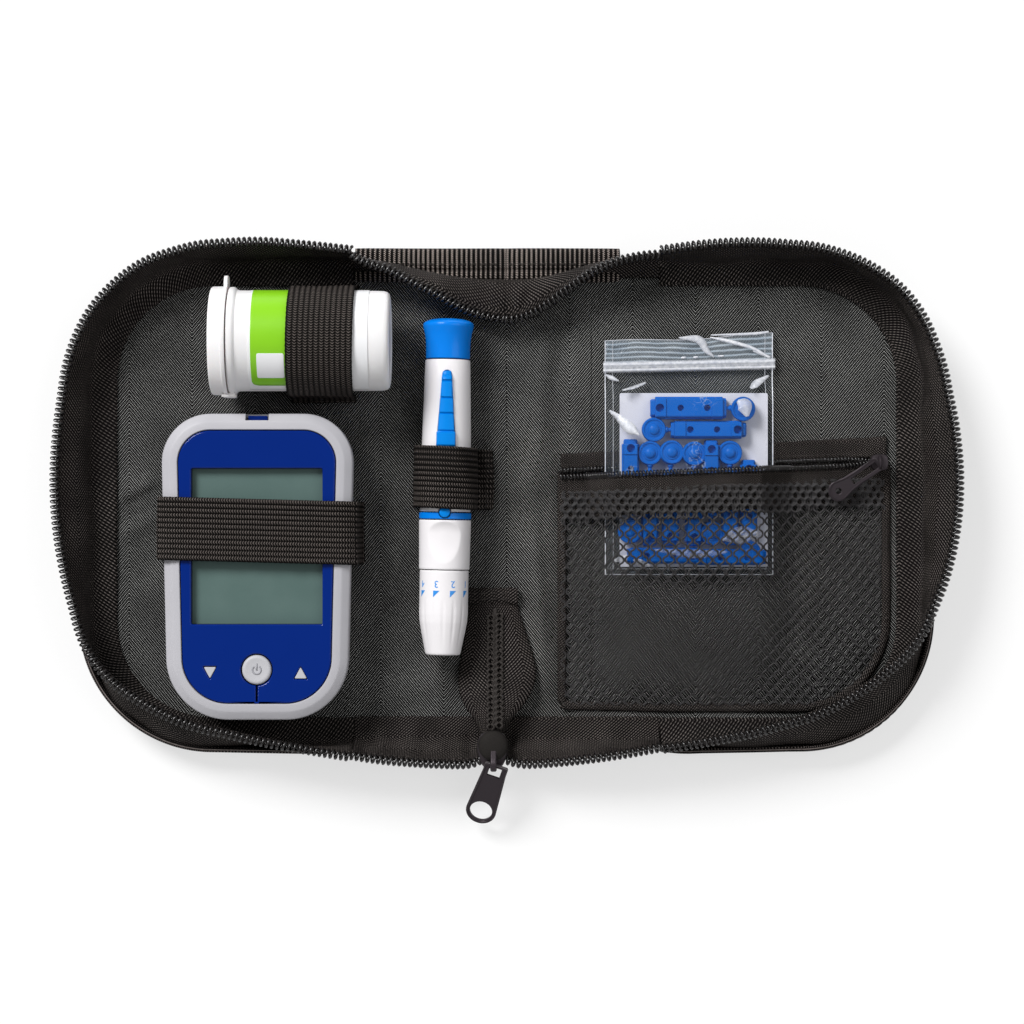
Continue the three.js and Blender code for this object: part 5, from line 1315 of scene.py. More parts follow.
# Vial strap
VIAL_Y, VIAL_Z, VIAL_R = 48.6, 19.9, 14.9
BAND_R = VIAL_R + 0.75
feet = [(17.4, 3.3), (16.2, 4.8), (15.7, 10.0)]
arch = [(VIAL_Y - out, z) for out, z in feet]
arch += [
    (VIAL_Y - BAND_R * math.cos(t), VIAL_Z + BAND_R * math.sin(t)) for t in np.linspace(0, math.pi, 19)
]
arch += [(VIAL_Y + out, z) for out, z in reversed(feet)]
line = evenly(rounded(arch, 300), 170)
grid = elastic_strip(line, -64.3, -45.2, lambda a, z, e: (e + 0.02 * (a - VIAL_Y), a, z))
loop_piece("vial_loop", grid[:, ::-1], 78, "left_lining", "vial_strap")

# Pen strap
PEN_X, PEN_Y, PEN_Z = -18.25, 5.5, 11.2
arch = [(PEN_X - 9.6, 3.2), (PEN_X - 9.0, 4.4)]
arch += [
    (PEN_X - 8.85 * math.cos(t), PEN_Z + 9.35 * math.sin(t)) for t in np.linspace(0.05, math.pi - 0.05, 17)
]
arch += [(PEN_X + 8.9, 5.4), (PEN_X + 9.4, 3.9)]
line = evenly(rounded(arch, 240), 120)
grid = elastic_strip(line, -0.9, 17.2, lambda a, z, e: (a, e - 0.05 * (a - PEN_X), z), wave=0.2)
loop_piece("pen_loop", grid, 40, "spine_lining_left", "pen_strap")
tail = evenly(
    rounded([(-9.8, 3.3), (-8.6, 4.3), (-6.6, 4.6), (-5.1, 4.4), (-4.5, 3.6), (-5.0, 2.9)], 60), 22,
)
grid = elastic_strip(tail, -0.6, 17.0, lambda a, z, e: (a, e - 0.6, z), wave=0.25)
cloth_piece("pen_loop_end", grid, ELASTIC_THICK, elastic, "pen_loop", "elastic")
sewn(
    "pen_loop_stitches", [(-6.2 + 0.2 * math.sin(y), y, 5.25) for y in np.linspace(-1.2, 16.2, 40)],
    "pen_loop", "elastic", length=1.4, gap=0.6,
)
print("three loops of elastic")

# %% [markdown]
# ## Meter
# The meter is two mouldings. The front one is a grey frame with a flat, sloping rim, and a glossy
# blue face lies in it, with a window for the display, a round key and two triangular ones. The
# outline is four arcs, tighter at the top, and each moulding is a stack of rings that draw in as they
# rise. The notch for the test strip and the battery door are cut with booleans.

# %% Outline and cuts
BOTTOM_HALF, TOP_CORNER, BOTTOM_CORNER = 27.0, 14.5, 18.5
METER_TOP, METER_BOTTOM = 27.0, -63.6


def meter_outline(inset, steps=22):
    points = []
    corners = (
        (TOP_HALF, METER_TOP, TOP_CORNER, 1, 1, 0),
        (TOP_HALF, METER_TOP, TOP_CORNER, -1, 1, 1),
        (BOTTOM_HALF, METER_BOTTOM, BOTTOM_CORNER, -1, -1, 2),
        (BOTTOM_HALF, METER_BOTTOM, BOTTOM_CORNER, 1, -1, 3),
    )
    for reach_x, reach_y, radius, sx, sy, quarter in corners:
        cx = METER_X + sx * (reach_x - radius)
        cy = reach_y - sy * radius
        for angle in np.linspace(0, math.pi / 2, steps) + quarter * math.pi / 2:
            points.append(
                (cx + (radius - inset) * math.cos(angle), cy + (radius - inset) * math.sin(angle))
            )
    return points


def meter_rings(steps, loop=False):
    """A skin over rings of the meter's outline, each at an inset and a height."""
    return stack([[(px, py, z) for px, py in meter_outline(inset)] for inset, z in steps], loop)


def carve(thing, cutters):
    """Cuts closed meshes out of a piece with booleans, and removes them."""
    for cutter in cutters:
        change = thing.modifiers.new("cut", "BOOLEAN")
        change.object = cutter
        change.operation = "DIFFERENCE"
        change.solver = "EXACT"
    bpy.context.view_layer.update()
    made = bpy.data.meshes.new_from_object(thing.evaluated_get(bpy.context.evaluated_depsgraph_get()))
    old = thing.data
    thing.modifiers.clear()
    thing.data = made
    bpy.data.meshes.remove(old)
    for cutter in cutters:
        bpy.data.objects.remove(cutter)
    thing.data.polygons.foreach_set("use_smooth", [True] * len(thing.data.polygons))
    return mark_sharp(thing)


def brick(low, high):
    (x0, y0, z0), (x1, y1, z1) = low, high
    rings = [[(x0, y0, z), (x1, y0, z), (x1, y1, z), (x0, y1, z)] for z in (z0, z1)]
    return piece("cutter", stack(rings), grey_shell)


print("the meter is", METER_TOP - METER_BOTTOM, "mm long")


# %% Front frame and rear case
rim = [(0.25, 13.2), (0.06, 13.5), (0.02, 17.0), (0.0, 20.7), (0.05, 21.1), (0.22, 21.4), (0.5, 21.62),
       (2.1, 22.62), (2.42, 22.8), (2.65, 22.88), (2.9, 22.92), (4.3, 23.24), (4.62, 23.22), (4.78, 23.05),
       (4.82, 22.8), (4.82, 21.1), (2.0, 20.9), (2.0, 13.2)]
frame_piece = piece(
    "meter_frame", meter_rings(rim, loop=True), grey_shell, "meter", "grey_plastic",
    "meter_front_frame",
)
notch = brick((METER_X - 3.45, METER_TOP - 2.0, 15.4), (METER_X + 3.45, METER_TOP + 2, 26))
port_way = brick((METER_X - 3.25, METER_TOP - 4, 15.2), (METER_X + 3.25, METER_TOP + 1, 20.0))
carve(frame_piece, [notch, port_way])

case = [
    (3.8, 3.3), (2.6, 3.4), (1.7, 3.9), (1.15, 4.8), (0.95, 6.0), (0.85, 11.9), (0.95, 12.5), (1.2, 12.9),
]
rear = piece("meter_back", meter_rings(case), rear_shell, "meter", "grey_plastic", "meter_rear_case")
door_way = brick((METER_X - 11.8, -43.2, 2.0), (METER_X + 11.8, -11.2, 5.0))
hollow = piece("cutter", meter_rings([(2.6, 6.0), (2.6, 14.0)]), rear_shell)
cell_ring = circle(METER_X, -24.0, 10.3, 48)
cell_way = piece("cutter", stack([[(px, py, z) for px, py in cell_ring] for z in (4.0, 9.0)]), rear_shell)
carve(rear, [door_way, hollow, cell_way])
print("the frame and the rear case have", len(frame_piece.data.polygons), len(rear.data.polygons), "faces")

# %% Seam, door and inner parts
lip = [(1.3, 12.7), (1.05, 12.9), (1.05, 13.25), (1.3, 13.4)]
piece("meter_seam", meter_rings(lip), rear_shell, "meter", "grey_plastic")

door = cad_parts["meter_battery_door"]
soften = door.modifiers.new("round", "BEVEL")
soften.width = 0.5 * MM
soften.segments = 3
dress("meter_battery_door", rear_shell)
dress("meter_coin_cell", cell_steel)
dress("meter_circuit_board", board_green)
ribs = [
    tube_parts([(METER_X - 6, y, 3.32), (METER_X + 6, y, 3.32)], 0.3) for y in np.arange(-33.5, -27, 1.3)
]
piece("battery_door_grip", joined(ribs), rear_shell, "battery_door", "grey_plastic")
print("the battery door has", len(ribs), "grip ribs")

# %% [markdown]
# The face is one thin sheet of clear plastic, printed blue behind. Its edge is polished round, which
# draws the bright line along its upper left. The display lies deeper, so the window's edge throws a
# shadow on it. A little of the light that falls on it comes back grey-green from the liquid crystal.

# %% Face
LCD_LEFT, LCD_RIGHT, LCD_TOP, LCD_BOTTOM = -93.15, -54.4, 10.8, -35.3
KEY_Y, KEY_R = -48.7, 4.35
DOWN_X, UP_X, ARROW_Y = -87.6, -60.8, -49.6


def rounded_box(left, bottom, right, top, radius, steps=6):
    points = circle(right - radius, top - radius, radius, steps, 0, math.pi / 2)
    points += circle(left + radius, top - radius, radius, steps, math.pi / 2, math.pi / 2)
    points += circle(left + radius, bottom + radius, radius, steps, math.pi, math.pi / 2)
    return points + circle(right - radius, bottom + radius, radius, steps, 1.5 * math.pi, math.pi / 2)


def triangle(x, up, size=1.0, radius=0.45):
    """An arrow key's outline with rounded corners. Up is 1 or -1."""
    half, tall = 1.85 * size, 1.7 * size * up
    corners = [(x - half, ARROW_Y - tall), (x + half, ARROW_Y - tall), (x, ARROW_Y + tall)]
    points = []
    for k in range(3):
        before, at, after = (np.array(corners[(k + d) % 3]) for d in (-1, 0, 1))
        a = at + unit(before - at) * radius
        b = at + unit(after - at) * radius
        points += [tuple((1 - t) ** 2 * a + 2 * t * (1 - t) * at + t**2 * b) for t in np.linspace(0, 1, 5)]
    return points


def lcd_window(grow, radius):
    return rounded_box(LCD_LEFT - grow, LCD_BOTTOM - grow, LCD_RIGHT + grow, LCD_TOP + grow, radius)


# The slit from the key to the lower edge and the key's hole are one outline.
gap = math.asin(0.25 / (KEY_R + 0.35))
keyhole = circle(METER_X, KEY_Y, KEY_R + 0.35, 40, -math.pi / 2 + gap, math.tau - 2 * gap - 1e-5)
keyhole += [(METER_X - 0.25, METER_BOTTOM + 5.35), (METER_X + 0.25, METER_BOTTOM + 5.35)]
window = lcd_window(0, 0.5)
holes = [window, keyhole, triangle(DOWN_X, -1, 1.12), triangle(UP_X, 1, 1.12)]
face = flat_plate([meter_outline(5.05), *holes], 1.8, 0.4, 21.25)
crisp("meter_face_panel", face, blue_gloss, "meter", "blue_gloss", "meter_face", degrees=50)
cut_for_keys = [
    window, circle(METER_X, KEY_Y, KEY_R + 0.25, 40), triangle(DOWN_X, -1, 1.2), triangle(UP_X, 1, 1.2),
]
under = flat_plate([meter_outline(3.0), *cut_for_keys], 0.5, 0.05, 20.5)
bed = moulded("face_bed", ink(10, 14, 26), 0.5)
piece("meter_face_bed", under, bed, "meter", "blue_gloss")
print("the face has", len(holes), "openings")


# %% Display
def display_glass():
    glass = Finish("display")
    cloud = glass.noise(0.09, 2.0)
    grain = glass.noise(3.0, 2.0)
    color = glass.mix(cloud * 0.7 + grain * 0.3, ink(72, 94, 90), ink(92, 113, 109))
    return glass.paint(color, grain * 0.15 + 0.28, grain, 0.01, 0.4)


display = display_glass()
piece(
    "meter_display", flat_plate([lcd_window(0.9, 0.8)], 1.6, 0.12, 18.8), display, "meter", "display",
    "meter_lcd",
)
border = flat_plate([lcd_window(0.6, 0.8), lcd_window(-0.1, 0.3)], 0.1, 0.02, 20.4)
piece("display_border", border, bed, "meter", "display")
print("the display is", round(LCD_RIGHT - LCD_LEFT, 2), "mm wide")

# %% [markdown]
# The round key is dished very slightly, with the usual power mark moulded on it: a ring that is open
# at the top, and a bar in the opening.


# %% Keys and strip port
def lathe(profile, sides, axis="z", centre=(0, 0, 0), loop=False):
    """Turns a profile of (radius, height) about an axis through the centre."""
    rings = []
    for radius, height in profile:
        ring = []
        for angle in np.linspace(0, math.tau, sides, endpoint=False):
            a, b = radius * math.cos(angle), radius * math.sin(angle)
            ring.append({"z": (a, b, height), "y": (b, height, a), "x": (height, a, b)}[axis])
        rings.append(np.array(ring) + centre)
    return stack(rings, loop)


key_top = 23.35
mark_z = key_top - 0.14
profile = [
    (0.05, 16.5), (KEY_R - 0.5, 16.5), (KEY_R, 17.0), (KEY_R, key_top - 0.75),
    (KEY_R - 0.12, key_top - 0.35), (KEY_R - 0.45, key_top - 0.08), (KEY_R - 0.9, key_top),
    (KEY_R - 1.3, key_top - 0.05), (2.0, mark_z), (0.05, key_top - 0.18),
]
crisp(
    "power_key", lathe(profile, 64, "z", (METER_X, KEY_Y, 0)), button_white, "power_button",
    "button_white", "meter_power_button",
)
mark_finish = moulded("key_mark", ink(160, 160, 166), 0.45)
arc = [(px, py, mark_z) for px, py in circle(METER_X, KEY_Y, 1.25, 34, math.pi * 0.7, math.pi * 1.6)]
bar = [(METER_X, KEY_Y + up, mark_z) for up in (-0.1, 0.9, 1.9)]
piece(
    "power_mark", joined([tube_parts(arc, 0.25, 8), tube_parts(bar, 0.25, 8)]), mark_finish,
    "power_button", "button_white",
)
for name, x, up in (("down", DOWN_X, -1), ("up", UP_X, 1)):
    crisp(
        f"{name}_key", flat_plate([triangle(x, up)], 3.2, 0.2, 20.0), button_white,
        f"{name}_button", "button_white", f"meter_{name}_button", degrees=50,
    )
front = METER_TOP - 0.6
port_plate = flat_plate(
    [rounded_box(METER_X - 2.95, front - 12.2, METER_X + 2.95, front, 0.4)], 4.0, 0.25, 15.7,
)
port = piece("strip_port", port_plate, blue_gloss, "meter", "blue_gloss", "meter_strip_port")
carve(port, [brick((METER_X - 2.65, front - 8, 17.25), (METER_X + 2.65, front + 2, 18.15))])

# %% [markdown]
# ## Vial
# The vial is a white plastic tube with a flip-top lid. Both are turned, with small rounds where the
# tool leaves them. The lid has a thumb tab on one side and its hinge on the other. A printed label is
# wrapped round the tube. Here it stays plain: a green field with round corners and a bare white box.

# %% Tube
MOUTH, VIAL_END, LID_END = -82.0, -34.4, -87.4
vial_axis = (0, VIAL_Y, VIAL_Z)
mouth_rim = [
    (13.5, 0.2), (14.2, 0), (15.6, 0), (16.0, 0.4), (16.0, 1.4), (15.7, 2.0), (15.1, 2.5), (14.95, 3.2),
]
foot = [
    (14.8, 4.0), (14.72, 1.9), (14.45, 0.9), (13.9, 0.3), (13.0, 0.02), (11.5, 0), (11.0, 0.4), (0.1, 0.5),
    (0.1, 1.8), (12.6, 1.8), (13.4, 2.6),
]
profile = [(radius, MOUTH + x) for radius, x in mouth_rim] + [(VIAL_R, -70.0), (14.85, -50.0)]
profile += [(radius, VIAL_END - x) for radius, x in foot]
crisp(
    "vial_tube", lathe(profile, 96, "x", vial_axis, loop=True), vial_white, "vial", "vial_white",
    "vial_body",
)
print("the tube is", 2 * VIAL_R, "mm across")

# %% Lid
seat = MOUTH - 0.3
profile = [
    (0.1, -87.05), (10.5, -87.1), (12.0, LID_END), (15.2, LID_END), (15.8, -87.2), (16.1, -86.7),
    (16.1, -83.7), (16.25, -83.45), (16.6, -83.3), (16.65, -82.7), (16.5, seat), (13.4, seat),
    (13.2, seat + 0.2), (13.0, -78.2), (12.2, -78.0), (12.0, seat), (11.6, seat - 1.2),
    (0.1, seat - 1.2),
]
tab_section = [
    (-1.15, -0.9), (-1.25, -0.4), (-1.25, 0.4), (-1.15, 0.9), (-0.1, 1.0), (0.05, 0.5), (0.05, -0.5),
    (-0.1, -1.0),
]
tab = []
for share in np.linspace(0, 1, 12):
    y = VIAL_Y + 15.6 + 3.6 * share
    wide = 4.6 * math.sqrt(max(1 - (share * 0.92) ** 2.4, 0.02))
    tab.append([(seat + dx, y, VIAL_Z + dz * wide) for dx, dz in tab_section])
hinge = []
for dz in (-3.2, 0.0, 3.2):
    knuckle = [(x, VIAL_Y - 16.1, VIAL_Z + dz) for x in (-83.6, -83.2, -80.6, -80.2)]
    hinge.append(tube_parts(knuckle, [0.55, 0.75, 0.75, 0.55], 12))
strap_section = ((-0.35, -5), (0.35, -5), (0.35, 5), (-0.35, 5))
strap = stack([[(x, VIAL_Y - 16.35 + dy, VIAL_Z + dz) for dy, dz in strap_section] for x in (-84.0, -81.9)])
lid_all = joined([lathe(profile, 96, "x", vial_axis), stack(tab), hinge[0], hinge[2], strap])
crisp("vial_cap", lid_all, vial_white, "vial_lid_body", "vial_white", "vial_lid")
piece("vial_hinge_knuckle", hinge[1], vial_white, "vial", "vial_white")
print("the lid turns on", len(hinge), "knuckles")


# %% Label
def label_patch(name, x0, x1, a0, a1, radius, finish, lift, corners):
    """A patch on the tube between two places and two angles from its top, with rounded corners."""
    rows = []
    wide = VIAL_R + lift
    ends = np.linspace(0, radius, 9)
    for x in np.r_[x0 + ends, np.linspace(x0 + radius, x1 - radius, 26)[1:-1], x1 - ends[::-1]]:
        near = max(0.0, (x0 + radius - x) / radius, (x - x1 + radius) / radius)
        left_side = x < (x0 + x1) / 2
        low_round, high_round = corners[:2] if left_side else corners[2:]
        drop = radius * (1 - math.sqrt(max(0.0, 1 - near * near))) / wide
        start, end = a0 + (drop if low_round else 0), a1 - (drop if high_round else 0)
        turn = np.linspace(start, end, 60)
        rows.append([(x, VIAL_Y + wide * math.sin(a), VIAL_Z + wide * math.cos(a)) for a in turn])
    cloth_piece(name, np.array(rows), FILM_THICK, finish, "vial", "vial_white")


def printed(name, color, other):
    film = Finish(name, Specular_IOR_Level=0.35)
    drift = film.noise(0.06, 2.0)
    grain = film.noise(4.0, 2.0)
    color = film.mix(drift, color, other)
    return film.paint(color, grain * 0.1 + 0.25, grain, 0.006, 0.3)


label_green = printed("label_green", ink(120, 190, 22), ink(140, 206, 36))
label_white = printed("label_white", ink(240, 240, 241), ink(232, 233, 236))
label_patch("vial_label", -75.6, -40.5, -1.35, 2.4, 1.0, label_white, 0.06, (False, False, False, False))
label_patch(
    "vial_label_field", -74.8, -50.0, -1.12, 2.0, 2.3, label_green, 0.12, (True, True, False, False),
)
label_patch("vial_label_box", -73.0, -65.0, -0.86, -0.3, 0.6, label_white, 0.18, (True, True, True, True))
dress("vial_desiccant_liner", desiccant)
dress("vial_test_strips", strip_white)
print("vial is", round(VIAL_END - LID_END, 1), "mm long")

# %% [markdown]
# ## Lancing pen
# The pen is turned about its own axis and laid a degree askew. The barrel narrows towards the blue
# cap, and the cap flares to a knob for pulling. On top are the stepped ejector slider, the release
# button in a blue ring, a thumb rest pressed into the sleeve, and the depth dial. The dial's digits
# are generic ones, wrapped on to its surface and read from the tip.


# %% Cap and barrel
PEN_END, RELEASE_Y = 50.3, -7.6
SLIDER_FOOT, SLIDER_TOP = 11.9, 34.6


def lay_pen(shape):
    return turned_about(shape, 0, -1.0, (PEN_X, PEN_Y, PEN_Z))


def pen_turned(name, profile, finish, body, slot, node, sides=96, pressed=None):
    """A turned part of the pen: a tube, unless its profile starts at the axis."""
    points, faces = lathe(profile, sides, "y", loop=profile[0][0] > 0.2)
    if pressed:
        points = pressed(points)
    return crisp(name, lay_pen((points, faces)), finish, body, slot, node)


def release_bore(radius):
    """A drill where the release button goes through."""
    drill = lathe([(0.1, 0), (radius, 0), (radius, 12), (0.1, 12)], 32, "z", (0, RELEASE_Y, 0))
    return piece("cutter", lay_pen(drill), pen_white)


cap_line = rounded([
    (6.45, 38.25), (6.62, 38.5), (6.62, 40.5), (6.72, 43.0), (7.02, 45.4), (7.45, 47.2), (7.6, 48.1),
    (7.35, 48.9), (6.2, 49.6), (4.2, 50.1), (2.0, 50.28), (0.1, PEN_END),
], 60)
rod = [(0.1, 15.9), (1.8, 15.9), (2.0, 16.2), (2.0, 38.2)]
pen_turned("pen_cap", [*rod, *cap_line], pen_blue, "pen_cap", "pen_blue", "pen_cocking_cap")
tube = [
    (2.4, 37.9), (6.35, 37.9), (6.62, 37.8), (6.75, 37.5), (6.95, 30.0), (7.2, 20.0), (7.45, 8.0),
    (7.62, -6.9), (7.6, -7.35), (7.4, -7.5), (5.3, -7.5), (4.5, 36.3), (2.4, 36.3),
]
barrel = pen_turned("pen_barrel_shell", tube, pen_white, "pen", "pen_white", "pen_barrel")


def slot_outline(play, travel):
    """The slot that the slider sits in, with room for its play and its travel."""
    front, back = 2.85 + play, 1.35 + play
    arc = circle(0, SLIDER_TOP - back + play, back, 12, 0, math.pi)
    start = SLIDER_FOOT - play - travel
    return [(-front, start), (front, start), (front, SLIDER_FOOT)] + arc + [(-front, SLIDER_FOOT)]


slot_cut = piece("cutter", lay_pen(flat_plate([slot_outline(0.12, 6.0)], 9.0, 0.01, 3.0)), slider_blue)
carve(barrel, [slot_cut, release_bore(1.96)])
print("the barrel has", len(barrel.data.polygons), "faces")

# %% Ring, sleeve and dial
ring = [(5.3, -7.8), (7.62, -7.8), (7.8, -7.95), (7.8, -9.5), (7.62, -9.68), (5.3, -9.7)]
blue_ring = pen_turned("pen_blue_ring", ring, pen_blue, "pen", "pen_blue", "pen_ring")
carve(blue_ring, [release_bore(1.9)])


def thumb_rest(points):
    """Presses a nail-shaped hollow into the top of the sleeve: straight at the ring, round below."""
    x, y, z = points.T
    along = np.where(y > -14.0, (y + 14.0) / 3.6, (y + 14.0) / 9.0)
    away = np.sqrt((x / 4.9) ** 2 + along**2)
    press = 1.0 * np.clip(1 - away**2.6, 0, 1) ** 1.2 * (z > 0) * (np.hypot(x, z) > 6.8)
    out = points.copy()
    out[:, 2] -= press
    return out


sleeve = evenly(
    [(7.62, -10.0), (7.8, -10.2), (7.78, -12.0), (7.66, -18.0), (7.56, -24.4), (7.42, -24.7)], 70,
)
sleeve = [(5.3, -10.0), *sleeve, (5.3, -24.7)]
pen_turned("pen_sleeve", sleeve, pen_white, "pen_nose", "pen_white", "pen_nose_sleeve", 160, thumb_rest)


def flutes(points):
    """Shallow grips round the dial that fade out towards its ends."""
    x, y, z = points.T
    angle = np.arctan2(x, z)
    radius = np.hypot(x, z)
    mask = np.clip((-y - 33.0) / 4, 0, 1) * np.clip((y + 49.0) / 6, 0, 1) * (radius > 5.0)
    press = 0.13 * mask * np.clip(np.cos(angle * 14), 0, 1) ** 2
    out = points.copy()
    out[:, 0] -= x / np.maximum(radius, 1e-6) * press
    out[:, 2] -= z / np.maximum(radius, 1e-6) * press
    return out


dial = evenly([
    (7.2, -25.0), (7.32, -25.2), (7.3, -30.0), (7.28, -38.0), (7.1, -40.4), (6.5, -43.8), (5.9, -46.8),
    (5.3, -49.8), (5.12, -50.15), (4.8, -PEN_END),
], 80)
nose = [(1.6, -PEN_END), (1.2, -50.0), (1.2, -48.9), (3.6, -48.8), (5.2, -39.6)]
dial = [(5.3, -25.0), *dial, *nose]
pen_turned("pen_dial", dial, pen_white, "pen_dial", "pen_white", "pen_depth_dial", 168, flutes)
print("the dial's outline has", len(dial), "points")

# %% Ejector slider, release button and inner parts
steps = [(34.55, 6.5, 1.0), (34.2, 7.3, 1.25), (33.4, 7.65, 1.4)]
for start, end in ((33.0, 31.5), (31.2, 26.4), (26.2, 21.8), (21.6, 16.5)):
    wide, wider = (1.42 + 1.35 * (SLIDER_TOP - y) / (SLIDER_TOP - SLIDER_FOOT) for y in (start, end))
    steps += [
        (start, 7.62, wide), (start - 0.25, 7.95, wide + 0.02), (end + 0.35, 8.2, wider),
        (end, 7.75, wider),
    ]
steps += [(16.2, 7.75, 2.75), (15.9, 8.45, 2.85), (12.4, 8.5, 2.85), (11.95, 8.1, 2.8), (11.9, 7.2, 2.7)]
rings = []
for y, top, wide in steps:
    left = [
        (-wide, y, 5.7), (-wide, y, top - 0.75), (-wide * 0.93, y, top - 0.32),
        (-wide * 0.72, y, top - 0.06),
    ]
    rings.append(left + [(0, y, top)] + [(-px, py, pz) for px, py, pz in reversed(left)])
crisp(
    "pen_slider", lay_pen(stack(rings)), slider_blue, "pen_ejector", "pen_blue", "pen_ejector_slider",
    degrees=40,
)
dome = [(0.1, 6.0), (1.62, 6.0), (1.64, 7.9), (1.5, 8.25), (1.1, 8.45), (0.1, 8.5)]
button = lathe(dome, 40, "z", (0, RELEASE_Y, 0))
tab_section = [(-1.3, 6.4), (-1.35, 7.7), (-0.9, 8.0), (0.9, 8.0), (1.35, 7.7), (1.3, 6.4)]
tab = stack([[(x, y, z) for x, z in tab_section] for y in (RELEASE_Y, RELEASE_Y + 1.4)])
crisp(
    "pen_release", lay_pen(joined([button, tab])), slider_blue, "pen_release", "pen_blue",
    "pen_release_button",
)
dress("pen_lancet_holder", pen_white)
dress("pen_spring", spring_steel)
print("the slider is a stack of", len(rings), "rings")

# %% Digits and pointers on the dial
print_blue = printed("dial_print", ink(70, 160, 228), ink(44, 134, 220))


PRINT_R = 7.33


def on_dial(flat, angle, y, sign):
    """Wraps flat (x, y) points on to the dial. A sign of -1 turns them to be read from its tip."""
    x, along = np.asarray(flat, float).T
    a = angle + sign * x / PRINT_R
    return np.stack([PRINT_R * np.sin(a), y + sign * along, PRINT_R * np.cos(a)], axis=1)


parts = []
for digit, degrees in (("4", -57), ("3", -17), ("2", 23), ("1", 61)):
    letters = bpy.data.curves.new("digit", "FONT")
    letters.body = digit
    letters.size = 2.9
    letters.align_x = "CENTER"
    letters.align_y = "CENTER"
    letters.offset = 0.02
    flat, faces = shape_of(letters)
    parts.append((on_dial(flat[:, :2], math.radians(degrees), -29.0, -1), faces))
    # The pointer is a triangle in eight slices, so that it bends with the dial.
    for start in range(8):
        a, b = 0.25 * start, 0.25 * (start + 1)
        slice_corners = [(a - 0.95, 0.9), (b - 0.95, 0.9), (b - 0.95, b - 1.1), (a - 0.95, a - 1.1)]
        parts.append((on_dial(slice_corners, math.radians(degrees), -31.9, 1), [(0, 3, 2, 1)]))
piece("dial_marks", lay_pen(joined(parts)), print_blue, "pen_dial", "pen_blue", smooth=False)
print("pen is", 2 * PEN_END, "mm long")

# %% [markdown]
# ## Mesh pocket
# The pocket is a knitted net, folded double along its top and sewn to a narrow zip. Each yarn of the
# net zigzags between its two neighbours and knots to one, then to the other, which leaves round holes
# in staggered rows. So the net is made as it is knitted: one wavy strand for each yarn. It bulges
# over the bag and lies flat to its seams.

# %% The net's surface
POCKET_LEFT, POCKET_RIGHT, POCKET_BOTTOM, POCKET_CORNER = 15.8, 114.6, -61.3, 27.0
ZIP_LEFT, ZIP_RUN = 22.6, 92.0
LOWER_ZIP, UPPER_ZIP, MEETING = (8.6, 12.2), (10.8, 14.4), (9.7, 13.2)
BULGE_ACROSS = [[0, 0.03], [0.02, 0.05], [0.06, 0.55], [0.113, 0.96], [0.166, 1.03], [0.36, 1.05],
                [0.58, 1.04], [0.615, 0.66], [0.65, 0.33], [0.685, 0.1], [0.84, 0.06], [1, 0.03]]
BULGE_DOWN = [[0, 1], [0.4, 1], [0.5, 0.84], [0.64, 0.58], [0.8, 0.3], [1, 0]]


def between(table, share):
    places, values = np.array(table).T
    return np.interp(share, places, values)


def zip_line(x, left, right):
    """Where a line that runs across the pocket lies along Y, from its left and its right end."""
    return left + (right - left) * (x - ZIP_LEFT) / ZIP_RUN


def net_height(x, y):
    top = zip_line(x, *LOWER_ZIP)
    fall = between(BULGE_DOWN, np.clip((top - y) / (top - POCKET_BOTTOM), 0, 1))
    creases = 0.3 * np.sin(x * 0.33 + y * 0.21) * np.sin(y * 0.17) * np.clip((top - y) / 20, 0, 1)
    return FLOOR_TOP + 0.65 + 9.8 * between(BULGE_ACROSS, (x - ZIP_LEFT) / ZIP_RUN) * fall + np.abs(creases)


def pocket_foot(x):
    over = np.clip(x - (POCKET_RIGHT - POCKET_CORNER), 0, POCKET_CORNER - 0.01)
    return POCKET_BOTTOM + POCKET_CORNER - np.sqrt(POCKET_CORNER**2 - over**2)


print("the net stands", round(float(net_height(42.0, 0.0)), 1), "mm high over the bag")


# %% Yarns of the net
def net_yarns(x_step, hem_only, shift, lift, radius):
    """Wavy strands down the pocket, each meeting its neighbours in turn."""
    parts = []
    for k, x0 in enumerate(np.arange(POCKET_LEFT + 1.2 + shift, POCKET_RIGHT - 0.8, x_step)):
        top = zip_line(x0, 4.6, 8.8) - shift
        foot = top - 8.6 + 0.8 * math.sin(x0 * 0.21) if hem_only else pocket_foot(x0) + 0.6
        y = np.arange(foot, top, 0.43)
        wave = np.sin(y * math.tau / 3.86 + k * math.pi)
        x = x0 + 0.74 * wave / np.sqrt(wave**2 + 0.3) + 0.25 * np.sin(y * 0.5 + x0 * 0.3)
        z = net_height(x, y) + lift + 0.14 * np.cos(y * math.tau / 1.93)
        parts.append(tube_parts(np.stack([x, y, z], axis=1), radius, sides=6))
    return parts


def net_finish():
    yarn = Finish("net_yarn", Sheen_Weight=0.05)
    fine = yarn.noise(2.6, 3.0)
    color = yarn.mix(fine, ink(14, 13, 14), ink(66, 64, 65))
    return yarn.paint(color, 0.34 + fine * 0.25, fine, 0.12, 0.8)


net_yarn = net_finish()
net = piece("pocket_net", joined(net_yarns(1.9, False, 0.0, 0.0, 0.3)), net_yarn)
over_fold(net, 1, "net_yarn", "pocket_mesh")
hem_parts = net_yarns(1.27, True, 0.3, 0.25, 0.3) + net_yarns(1.27, True, 0.9, 0.6, 0.27)
hem = piece("pocket_net_hem", joined(hem_parts), net_yarn)
over_fold(hem, 1, "net_yarn")
print("the net has", len(net.data.polygons), "faces")

